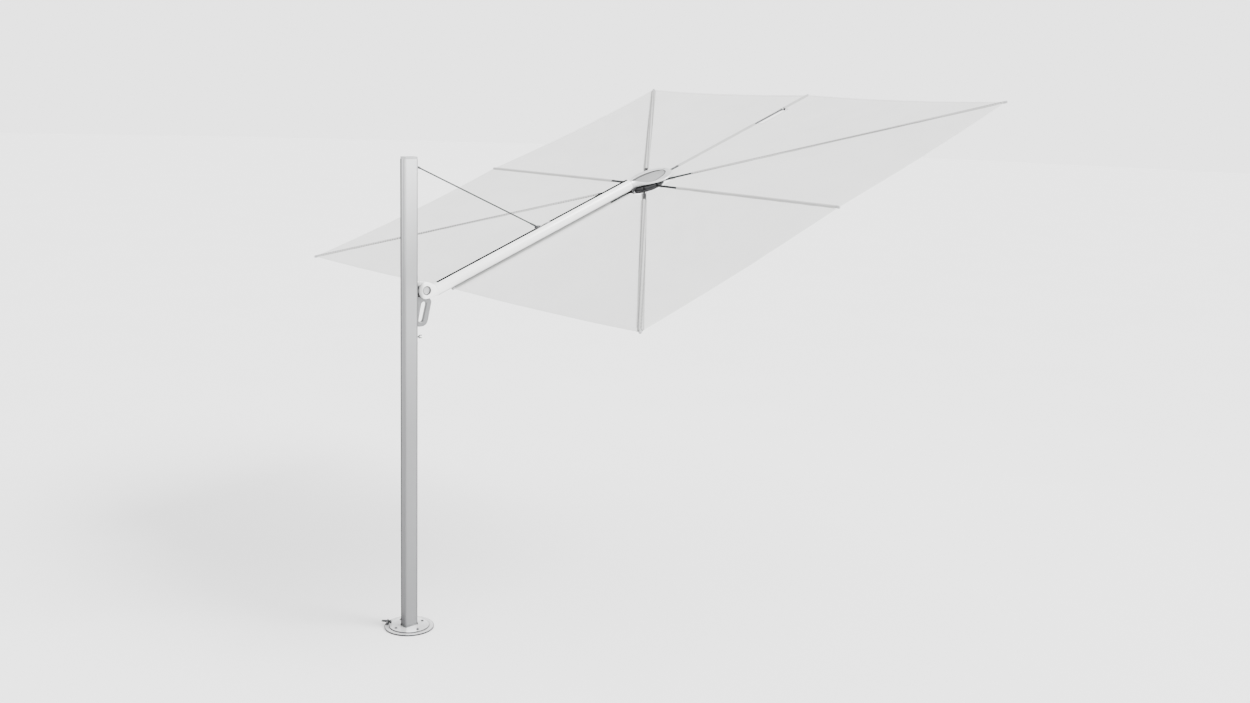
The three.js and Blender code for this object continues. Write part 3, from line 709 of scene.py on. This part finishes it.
# Outlines in the plane of the boom, measured from the hinge pin: towards the canopy, then up.
HANDLE_LOOP = drawn((-0.0458, -0.0310), (-0.020, -0.0280, 0.013, -0.0280), (0.0175, -0.0395),
                    (0.042, -0.047, 0.042, -0.068), (0.0215, -0.160), (0.015, -0.1895, -0.014, -0.1935),
                    (-0.034, -0.1935), (-0.046, -0.1935, -0.046, -0.178))
HANDLE_GRIP = drawn((-0.021, -0.072), (-0.016, -0.062, -0.005, -0.062), (0.011, -0.062, 0.009, -0.078),
                    (-0.011, -0.158), (-0.015, -0.169, -0.027, -0.169), (-0.040, -0.169, -0.038, -0.152))


def make_handle():
    """A cast loop that hangs from an eye on the hinge pin."""
    where, half = place(HINGE, -ACROSS, WORLD_X), 0.006
    body = plate("release_handle_fine", [HANDLE_LOOP, HANDLE_GRIP], 0.020, where, HANDLE_ALLOY, 0.005, 5)
    eye = cylinder("eye", HINGE - ACROSS * half, HINGE + ACROSS * half, 0.022, HANDLE_ALLOY)
    stem_outline = [(-0.013, -0.040), (0.013, -0.040), (0.013, 0.0), (-0.013, 0.0)]
    stem = extruded("stem", stem_outline, -half, half, where, HANDLE_ALLOY)
    combine(body, [eye, stem], "UNION")
    combine(body, [cylinder("bore", HINGE - ACROSS * 0.03, HINGE + ACROSS * 0.03, PIN_BORE, HANDLE_ALLOY)])
    seat(cast(body, 0.0011, 6), "handle", "cast_alloy", "release_handle")


# ---- boom
TUBE_RADIUS, TUBE_DROP, TUBE_WALL = 0.035, -0.028, 0.0025
TUBE_START, TUBE_END = spread(["boom_tube"], ALONG, HINGE)
STAY_FOOT = (pivot("boom_swing") - HINGE).dot(ALONG)


SHADE_STRIP_PROUD, SHADE_STRIP_SUNK, SHADE_STRIP_STEPS = 0.0003, 0.0012, 16


def make_knuckle():
    """Two round cheeks that run smoothly into the tube, with a dark ring of painted shade sunk in each."""
    rim, half, fillet = 0.046, 0.028, 0.007
    points = []
    for radius, y in ((rim - fillet, half), (rim - fillet * 0.3, half - fillet * 0.3), (rim, half - fillet)):
        for side in (-1, 1):
            points += ring_about(on_boom(0, side * y, 0), ALONG, UP, radius, 96)
    points += ring_about(on_boom(TUBE_START - 0.0003, 0, TUBE_DROP), ACROSS, UP, TUBE_RADIUS, 96)
    knuckle = hull("boom_knuckle_fine", points, KNUCKLE_COAT)
    cuts = [("fork", -0.014, 0.014, 0.059, 96), ("bore", -0.04, 0.04, PIN_BORE, 48),
            ("pocket", -0.019, -0.04, 0.0245, 96), ("pocket", 0.019, 0.04, 0.0245, 96)]
    combine(knuckle, [cylinder(name, on_boom(0, start, 0), on_boom(0, end, 0), radius, KNUCKLE_COAT, sides)
                      for name, start, end, radius, sides in cuts])
    seat(cast(knuckle, 0.0011, 4), "boom", "white_coat", "boom_knuckle")
    # Painted shade: a dark ring for the shadowed gap round each hinge cap.
    ring = [(0.0203, 0.0228), (0.0243, 0.0228), (0.0243, 0.0272, 0.0008), (0.0203, 0.0272, 0.0012)]
    for side, name in ((1, "hinge_gap_shade_left"), (-1, "hinge_gap_shade_right")):
        seat(turned(name, ring, place(HINGE, ACROSS * side, WORLD_X), DARK_CAST, 96, 3), "boom", "dark_cast")


def make_tube():
    where, inner = place(on_boom(0, 0, TUBE_DROP), ALONG, ACROSS), TUBE_RADIUS - TUBE_WALL
    section = [(inner, TUBE_START), (TUBE_RADIUS, TUBE_START, 0.0004), (TUBE_RADIUS, TUBE_END, 0.0016),
               (inner, TUBE_END, 0.0006)]
    tube = turned("boom_tube_fine", section, where, TUBE_COAT, 128)
    start, end, half = -0.008, 0.075, 0.0056
    opening = rounded([(start, -half, 0.005), (end, -half, 0.005), (end, half, 0.005), (start, half, 0.005)])
    slot = plate("slot", [opening], 0.03, place(on_boom(STAY_FOOT, 0, 0.005), UP, ALONG), TUBE_COAT, 0.0005)
    seat(combine(tube, [slot]), "boom", "white_coat", "boom_tube")
    make_edge_shade_strip("boom_top_edge_shade", 90, 0.085)
    make_edge_shade_strip("boom_under_edge_shade", -90, 0.150)
    radius, start, end = inner - 0.0003, TUBE_END - 0.012, TUBE_END - 0.0015
    plug = [(0, start), (radius, start), (radius, end, 0.002), (0, end)]
    seat(turned("boom_end_plug", plug, where, CAST_ALLOY, 96, 3), "boom", "cast_alloy")


def make_edge_shade_strip(name, middle, start):
    """A slim dark strip of painted shade let into the tube along its top or its underside, parted round the
    stay's slot.
    """
    end, half_angle = TUBE_END - 0.004, 20 if middle > 0 else 28
    strips = [(start, end, -half_angle, half_angle)]
    if middle > 0:
        slot_start, slot_end, slot_angle = STAY_FOOT - 0.020, STAY_FOOT + 0.086, 9.6
        strips = [(start, slot_start, -half_angle, half_angle), (slot_end, end, -half_angle, half_angle),
                  (slot_start, slot_end, -half_angle, -slot_angle),
                  (slot_start, slot_end, slot_angle, half_angle)]
    for part, (low, high, first, last) in enumerate(strips, 1):
        angles = [radians(middle + mix(first, last, i / SHADE_STRIP_STEPS)) for i in range(SHADE_STRIP_STEPS + 1)]
        rims = [(TUBE_RADIUS + SHADE_STRIP_PROUD * (0 < i < SHADE_STRIP_STEPS), a) for i, a in enumerate(angles)]
        rims += [(TUBE_RADIUS - SHADE_STRIP_SUNK, a) for a in angles[::-1]]
        rings = [[on_boom(x, r * cos(a), TUBE_DROP + r * sin(a)) for r, a in rims] for x in (low, high)]
        seat(loft(f"{name}_{part}", rings, EDGE_SHADE_STRIP, 50), "boom", "dark_cast")


NECK_CIRCLE = [(-90, 1.0), (-50, 1.0), (-25, 1.0), (0, 1.0), (25, 1.0), (42, 1.0), (50, 0.95)]
NECK_HOLLOW = [(0.0225, 0.0190), (0.0195, 0.0140), (0.0120, 0.0112), (0.0, 0.0100)]
PETAL_CENTRE, PETAL_RADIUS, PETAL_TOP, PETAL_UNDER = 1.688, 0.138, -0.044, -0.056
HEAD_START = TUBE_END + 0.0003
DISH_MIDDLE, DISH_END, DISH_WIDTH, DISH_DEPTH = 1.650, 1.798, 0.092, 0.0066


def head_half_section(x):
    """Half of the head's cross-section, from the middle underneath round the rim to the hollow's middle."""
    out, radius = x - HEAD_START, TUBE_RADIUS - 0.0004
    width = mix(TUBE_RADIUS, PETAL_RADIUS, smooth(out / (PETAL_CENTRE - HEAD_START)))
    if x > PETAL_CENTRE:
        width = sqrt(max(PETAL_RADIUS ** 2 - (x - PETAL_CENTRE) ** 2, 1e-8))
    dish = mix(0.020, DISH_WIDTH, smooth(out / (DISH_MIDDLE - HEAD_START)))
    if x >= DISH_MIDDLE:
        dish = DISH_WIDTH * sqrt(max(1 - ((x - DISH_MIDDLE) / (DISH_END - DISH_MIDDLE)) ** 2, 0))
    dish = min(dish, width * 0.86)
    depth = DISH_DEPTH * smooth(dish / 0.03)
    top, under, floor = PETAL_TOP, PETAL_UNDER, PETAL_TOP - depth
    ease = min(0.006, width * 0.3)
    shoulder = width - ease * 0.4
    petal = [(0, under), (width * 0.8, under), (shoulder, under + 0.0016), (width, (under + top) / 2),
             (shoulder, top - 0.0016), (width - ease, top), (mix(dish, width, 0.18), top + 0.0008),
             (dish, top - depth * 0.15), (dish * 0.985, top - depth * 0.85), (dish * 0.96, floor),
             (0, floor + 0.0012 * (depth > 0.006))]
    neck = [(radius * k * cos(radians(a)), radius * k * sin(radians(a))) for a, k in NECK_CIRCLE]
    neck += NECK_HOLLOW
    wide, flat = smooth(out / 0.06), smooth(out / 0.100)
    return [(mix(y, across, wide), mix(TUBE_DROP + z, up, flat)) for (y, z), (across, up) in zip(neck, petal)]


def make_head():
    """A spoon-shaped cover with a hollowed top, over the hub."""
    stations = [HEAD_START + (PETAL_CENTRE - HEAD_START) * i / 34 for i in range(35)]
    stations += [PETAL_CENTRE + (PETAL_RADIUS - 0.0006) * sin(pi / 2 * i / 22) for i in range(1, 23)]
    rings = []
    for x in stations:
        half = head_half_section(x)
        rings.append([on_boom(x, y, z) for y, z in half + [(-y, z) for y, z in half[-2:0:-1]]])
    head = loft("boom_head_fine", rings, CAST_ALLOY, 180)
    head.data.materials.append(RECESS_PAINTED_SHADE)
    head.data.materials.append(RECESS_WALL_PAINTED_SHADE)
    count = len(rings[0])
    hollow = {9: 1, 10: 1, 7: 2, 8: 2, 11: 2, 12: 2}  # floor and walls, in painted shade: each column of faces and its material
    for polygon in list(head.data.polygons)[:count * (len(rings) - 1)]:
        polygon.material_index = hollow.get(polygon.index % count, 0)
    subdivision = head.modifiers.new("subdivision", "SUBSURF")
    subdivision.levels = subdivision.render_levels = 2
    seat(settle(head, 70), "boom", "cast_alloy", "boom_head")
    pin = pivot("hub_fold") - HINGE
    lug = rounded([(-0.009, -0.009, 0.008), (0.009, -0.009, 0.008), (0.0085, 0.014, 0.003),
                   (0.026, 0.018, 0.004), (0.026, 0.026), (-0.009, 0.026)], 6)
    for side, name in ((1, "hub_lug_left"), (-1, "hub_lug_right")):
        where = place(on_boom(pin.dot(ALONG), side * 0.0325, pin.dot(UP)), -ACROSS, ALONG)
        seat(plate(name, [lug], 0.007, where, DARK_CAST, 0.0008), "boom", "dark_cast")


# ---- hub and ribs
class Rib:
    """Where one rib lies: its pivot, its direction and its length from the hub's centre."""

    def __init__(self, k):
        offset = pivot(f"rib_fold_{k}") - HUB
        self.number, self.body = k, f"rib_{k}"
        azimuth = atan2(offset.dot(ACROSS), offset.dot(ALONG))
        self.way = (ALONG * cos(azimuth) + ACROSS * sin(azimuth)).normalized()
        self.side = UP.cross(self.way)
        self.cap_start, self.tip = spread([f"rib_cap_{k}"], self.way, HUB)

    def at(self, r, aside=0.0, height=0.0):
        return HUB + self.way * r + self.side * aside + UP * height


ribs = {k: Rib(k) for k in RIBS}
RIB_PIVOT = 0.100  # from the hub's centre
FERRULE_START, FERRULE_END = 0.126, 0.300
SLOT_START, SLOT_END = 1.000, 1.285


def make_rib(rib):
    """A slim rod in a thick ferrule, with a flat tongue that turns in the hub, and an end cap."""
    where, rod_end = place(HUB, rib.way, rib.side), rib.cap_start - 0.0003
    section = [(0, FERRULE_START), (0.0070, FERRULE_START, 0.0010), (0.0070, FERRULE_END, 0.0012),
               (0.0055, FERRULE_END + 0.0006, 0.0003), (0.0055, rod_end), (0, rod_end)]
    rod = turned(f"{rib.body}_fine", section, where, RIB_ALLOY, 40)
    eye = cylinder("eye", rib.at(RIB_PIVOT, -0.004), rib.at(RIB_PIVOT, 0.004), 0.006, RIB_ALLOY, 40, 0.0006)
    pin = cylinder("pin", rib.at(RIB_PIVOT, -0.012), rib.at(RIB_PIVOT, 0.012), 0.003, RIB_ALLOY, 32, 0.0004)
    tongue = [(-0.004, -0.0055), (0.004, -0.0055), (0.004, 0.0055), (-0.004, 0.0055)]
    flat = extruded("flat", tongue, RIB_PIVOT, FERRULE_START + 0.001, where, RIB_ALLOY)
    seat(combine(rod, [flat, eye, pin], "UNION"), rib.body, "rib_alloy", rib.body)
    start, end, cap = rib.cap_start, rib.tip, f"rib_cap_{rib.number}"
    section = [(0, start), (0.0072, start, 0.0008), (0.0078, start + 0.004, 0.001),
               (0.0078, end - 0.004, 0.004), (0.0030, end, 0.001), (0, end - 0.0004)]
    seat(turned(cap + "_fine", section, where, GREY_PLASTIC, 48, 6), rib.body, "grey_plastic", cap)


# ---- cloth
SEAM = 0.014         # from a rib's line to the edge of the cloth between two sleeves
INNER_RADIUS = 0.150
CLOTH_THICKNESS = 0.0009
HEM_SIDES = [(ALONG, FAR_EDGE), (ACROSS, SIDE_EDGE), (ACROSS, SIDE_EDGE), (ALONG, NEAR_EDGE),
             (ALONG, NEAR_EDGE), (ACROSS, -SIDE_EDGE), (ACROSS, -SIDE_EDGE), (ALONG, FAR_EDGE)]
INNER_SLANT = 0.034   # how much further out a gore's inner edge starts at its second rib


def beside_slot(r):
    """1 along the hand slot and 0 elsewhere, with rounded ends."""
    ease = 0.016
    return smooth((r - SLOT_START) / ease) * smooth((SLOT_END - r) / ease)


class Gore:
    """The cloth between one rib and the next, as a surface over (s, t): outwards, and from rib to rib."""

    def __init__(self, k):
        self.k = k
        self.first, self.second = ribs[k], ribs[k % 8 + 1]
        way, value = HEM_SIDES[k - 1]
        self.hem_normal, self.hem_reach = way * (1 if value > 0 else -1), abs(value)

    def seam_point(self, rib, sign, s):
        """A point on the seam beside a rib, clear of it by the seam's allowance."""
        start = rib.at(INNER_RADIUS, sign * SEAM)
        travel = (self.hem_reach - (start - HUB).dot(self.hem_normal)) / rib.way.dot(self.hem_normal)
        r = INNER_RADIUS + travel * s
        aside = mix(SEAM, 0.052 if sign < 0 else 0.0085, beside_slot(r)) if rib.number == 1 else SEAM
        return rib.at(r, sign * aside), travel

    def point(self, s, t, lift=0.0):
        depth = self.seam_point(self.first, 1, 0)[1]
        slant = INNER_SLANT * t * t / depth
        a = self.seam_point(self.first, 1, mix(slant, 1, s))[0]
        b = self.seam_point(self.second, -1, mix(slant, 1, s))[0]
        span = (b - a).length
        across, belly = t * span, 4 * t * (1 - t)
        scallop, sag = 0.006 * belly * s * s, 0.0085 * span * belly * (0.35 + 0.65 * s)
        near_seam = max(0.0, 1 - min(t, 1 - t) * span / 0.16)
        seam = self.k * 3.7 + (1 if t < 0.5 else 5)
        pucker = noise.noise(Vector((s * 26, seam, across * 2))) * 0.0011 * near_seam
        radial = noise.noise(Vector((s * 2.2, across * 9 + self.k * 11.3, self.k))) * 0.0016 * belly
        drift = noise.noise(Vector((s * 3.1 + self.k * 5.1, t * 3.3, 2.0))) * 0.0022 * belly
        height = -sag + (pucker + radial + drift) * smooth(s * 6) + lift
        return a.lerp(b, t) - self.hem_normal * scallop + UP * height


def rows_of(gore, count):
    """Where the rows of a gore's grid lie, closer together at the ends of the hand slot."""
    rows = [i / count for i in range(count + 1)]
    if 1 in (gore.first.number, gore.second.number):
        reach = gore.seam_point(gore.first, 1, 0)[1]
        for r in (SLOT_START, SLOT_END):
            middle = (r - INNER_RADIUS) / reach
            rows += [middle + step * 0.0022 for step in range(-8, 9)]
    return sorted(set(round(s, 5) for s in rows))


def grid_sheet(name, rows, columns, point, material, thickness):
    """A sheet of real thickness from a grid of points."""
    vertices = [point(s, t) for s in rows for t in columns]
    width = len(columns)
    faces = [[i * width + j, i * width + j + 1, (i + 1) * width + j + 1, (i + 1) * width + j]
             for i in range(len(rows) - 1) for j in range(width - 1)]
    sheet = mesh_object(name, vertices, faces, material)
    solid = sheet.modifiers.new("thickness", "SOLIDIFY")
    solid.thickness, solid.offset = thickness, 0
    return settle(sheet, 60)


def fold_up(piece, gore):
    """Gives the piece its own copy of its mesh, and works out an axis and anchor beside its rib that are not
    used.
    """
    axis, anchor = tuple(gore.first.side), tuple(gore.first.at(0.5, 0.022))
    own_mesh(piece)
    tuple(axis)
    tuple(anchor)


STITCH_FACES = ((0, 1, 4), (1, 3, 4), (3, 2, 4), (2, 0, 4), (0, 2, 3, 1))


def stitch_mesh(path, pitch=0.007, length=0.0042, width=0.0007, height=0.0004):
    """Raised stitches along a path of points, each a slim ridge."""
    vertices, faces = [], []
    carried = 0.0
    for a, b in zip(path, path[1:]):
        way, span = (b - a).normalized(), (b - a).length
        side = UP.cross(way) * (width / 2)
        while carried < span:
            start, base = a + way * carried, len(vertices)
            middle = start + way * (length / 2)
            vertices += [start, middle - side, middle + side, start + way * length, middle + UP * height]
            faces += [[base + i for i in corners] for corners in STITCH_FACES]
            carried += pitch
        carried -= span
    return mesh_object("stitches", vertices, faces, THREAD)


def joined(name, pieces):
    """Several pieces as one object, each keeping its own material."""
    vertices, faces, chosen, materials = [], [], [], []
    for piece in pieces:
        base = len(vertices)
        material = piece.data.materials[0]
        if material not in materials:
            materials.append(material)
        vertices += [tuple(v.co) for v in piece.data.vertices]
        faces += [[base + i for i in polygon.vertices] for polygon in piece.data.polygons]
        chosen += [materials.index(material)] * len(piece.data.polygons)
        bpy.data.objects.remove(piece)
    made = mesh_object(name, vertices, faces, materials[0], 50)
    for material in materials[1:]:
        made.data.materials.append(material)
    made.data.polygons.foreach_set("material_index", chosen)
    return made


def make_gore(k):
    gore = Gore(k)
    rows, columns = rows_of(gore, 64), [i / 44 for i in range(45)]
    cloth = grid_sheet(f"canopy_cloth_{k}", rows, columns, gore.point, CLOTH, CLOTH_THICKNESS)
    pieces = [make_hem(gore)]
    if k == 8:
        pieces.append(make_slot_binding(gore))
    for piece in (cloth, *pieces):
        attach(piece, gore.first.body)
        fold_up(piece, gore)
    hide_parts(f"canopy_panel_{k}")
    corners = [gore.point(s, t) for s, t in ((0, 0), (1, 0), (1, 1), (0, 1))]
    area = sum(((b - corners[0]).cross(c - corners[0])).length / 2 for b, c in zip(corners[1:], corners[2:]))


def make_hem(gore):
    """A folded hem along the outer edge, with two rows of stitches."""
    width, proud, columns = 0.025, 0.0011, 60
    depth = gore.seam_point(gore.first, 1, 0)[1]
    inner = 1 - width / depth
    rings = []
    for j in range(columns + 1):
        t = j / columns
        outer_point, inner_point = gore.point(1, t), gore.point(inner, t)
        out = (outer_point - inner_point).normalized()
        rise, fold, edge = UP * proud, outer_point - out * 0.003, outer_point + out * 0.0006
        rings.append([inner_point - rise * 0.5, inner_point + rise * 0.9, fold + rise, edge + rise * 0.4,
                      edge - rise * 0.4, fold - rise])
    pieces = [loft("band", rings, CLOTH, 50)]
    for inset in (0.004, 0.021):
        path = [gore.point(1 - inset / depth, (j + 0.5) / columns, proud * 0.97) for j in range(columns)]
        pieces.append(stitch_mesh(path))
    return joined(f"canopy_hem_{gore.k}", pieces)


def tube_along(name, path, radius, material, sides=10):
    """A round cord of cloth along a list of points."""
    rings = []
    for i, here in enumerate(path):
        way = (path[min(i + 1, len(path) - 1)] - path[max(i - 1, 0)]).normalized()
        side = way.cross(UP).normalized()
        rings.append(ring_about(here, side, side.cross(way), radius, sides))
    return loft(name, rings, material, 60)


def make_slot_binding(gore):
    """Piping round the cut edge of the hand slot, with its points closer together at both ends."""
    reach = gore.seam_point(gore.second, -1, 0)[1]
    first, last = ((r - INNER_RADIUS) / reach for r in (SLOT_START - 0.004, SLOT_END + 0.004))
    path = [gore.point(mix(first, last, mix(i / 90, smooth(i / 90), 0.85)), 1) for i in range(91)]
    return tube_along("hand_slot_binding", path, 0.0021, SHADED_SLEEVE_CLOTH)


SLEEVE_HALF, SLEEVE_STEPS, SLEEVE_LAP = 0.018, 12, 0.012  # half width, columns, and reach over the ferrule


def make_sleeve(rib):
    """The pocket of cloth round a rib: an under layer from the hub, and an upper one beyond the ferrule."""
    # Painted shade: the sleeves take darker copies of the canopy cloth.
    cloth = SHADED_SLEEVE_CLOTH if rib.number % 2 else SHADED_LACED_CLOTH
    profile = [i / SLEEVE_STEPS * 2 - 1 for i in range(SLEEVE_STEPS + 1)]

    def layer(sign, bulge):
        def point(r, x):
            ripple = noise.noise(Vector((r * 55, x * 1.6 + rib.number * 9.1, sign * 4.0))) * 0.00045
            sway = noise.noise(Vector((r * 18, rib.number * 5.0, 1.0 if x > 0 else 8.0)))
            over = bulge(r) * max(0.0, 1 - abs(x / 0.62) ** 2.6) ** 0.8 + 0.0007
            return rib.at(r, x * SLEEVE_HALF * (1 + 0.03 * sway), sign * over + ripple * (1 - abs(x) ** 2.2))
        return point

    def stretches(start):
        end = rib.cap_start + 0.006
        return [(start, SLOT_START - 0.002), (SLOT_END + 0.002, end)] if rib.number == 1 else [(start, end)]

    upper = layer(1, lambda r: 0.0060)
    under = layer(-1, lambda r: mix(0.0078, 0.0062, smooth((r - FERRULE_END) / 0.03)))
    mouth = FERRULE_END - SLEEVE_LAP
    pieces = []
    for surface, start in ((upper, mouth), (under, INNER_RADIUS + 0.004)):
        for low, high in stretches(start):
            count = max(8, int((high - low) / 0.009))
            rows = [mix(low, high, i / count) for i in range(count + 1)]
            pieces.append(grid_sheet("layer", rows, profile, surface, cloth, 0.0008))
    for low, high in stretches(mouth):
        count = max(4, int((high - low) / 0.05))
        for x in (-0.80, 0.80):
            pieces.append(stitch_mesh([upper(mix(low + 0.004, high - 0.004, i / count), x) + UP * 0.0004
                                       for i in range(count + 1)]))
    pieces.append(tube_along("mouth", [upper(mouth, x) + UP * 0.0003 for x in profile], 0.0010, cloth, 8))
    seat(joined(f"rib_sleeve_{rib.number}", pieces), rib.body, "canopy_cloth")


def make_grab_ring():
    """A ring round the bare rib, and the small knob on it."""
    rib = ribs[1]
    low, high = spread(["grab_ring"], rib.way, HUB)
    centre, radius, thick = rib.at((low + high) / 2), 0.011, 0.003
    angles = [2 * pi * i / 16 for i in range(16)]
    circle = [(radius + thick * cos(a), thick * sin(a)) for a in angles]
    ring = lathe("grab_ring_fine", circle, place(centre, rib.way, rib.side), WHITE_COAT, 64, closed=True)
    seat(ring, rib.body, "cast_alloy", "grab_ring")
    knob = [(0, 0.0142), (0.0045, 0.0142, 0.001), (0.0052, 0.0165, 0.001), (0.0070, 0.018, 0.002),
            (0.0070, 0.026, 0.003), (0.0035, 0.0284, 0.002), (0, 0.0284)]
    seat(turned("grab_knob_fine", knob, place(centre, -rib.side, rib.way), BLACK_PLASTIC, 48, 5), rib.body,
         "black_plastic", "grab_knob")


# ---- pieces that follow their CAD node
EASED = [("lock_bracket", DARK_CAST, 0.0008, 2, "base", "dark_cast"),
         ("lock_pin", STEEL, 0.0005, 2, "base", "steel"),
         ("mast_cap", GREY_PLASTIC, 0.0012, 3, "mast", "grey_plastic"),
         ("foot_collar", MAST_ALLOY, 0.0016, 3, "mast", "grey_plastic"),
         ("hub_body", BLACK_PLASTIC, 0.0008, 2, "hub", "black_plastic"),
         ("hub_retainer", BLACK_PLASTIC, 0.0010, 2, "hub", "black_plastic"),
         ("stay_lug", DARK_CAST, 0.0007, 2, "boom", "dark_cast"),
         ("stay_lug_pin", STEEL, 0.0005, 2, "boom", "steel")]  # node, finish, bevel and its steps, body, slot
CAST = [("lock_pedal", 0.0009, 8, "lock_lever"), ("carriage_bracket", 0.0014, 5, "carriage"),
        ("strap_cleat", 0.0007, 6, "carriage")]  # node, voxel, rounds of smoothing, body
AS_THEY_ARE = [(SPIGOT_STEEL, "base_spigot"),
               (NYLON, "lower_bush upper_bush slider_shoe_upper slider_shoe_lower"),
               (STEEL, "stay_pin hinge_pin hub_pin_left hub_pin_right")]


def finish_cad_nodes():
    for node, material, width, segments, body, slot in EASED:
        seat(eased(node, material, width, segments), body, slot, node)
    for node, voxel, rounds, body in CAST:
        seat(cast(copied(node, DARK_CAST), voxel, rounds), body, "dark_cast", node)
    for material, nodes in AS_THEY_ARE:
        for node in nodes.split():
            paint(frame["nodes"][node].data, material)


def make_floor():
    radius, height = 60, -0.0002
    lathe("floor", [(0, height), (radius, height)], GROUND, floor_paint())


for make in (make_camera, make_world, make_key_light, make_floor, make_base, make_mast, make_stay,
             make_hinge_caps, make_handle, make_knuckle, make_tube, make_head, make_grab_ring,
             finish_cad_nodes):
    make()
for number in range(1, 5):
    make_screw(number)
for rib in ribs.values():
    make_rib(rib)
    make_sleeve(rib)
for number in RIBS:
    make_gore(number)
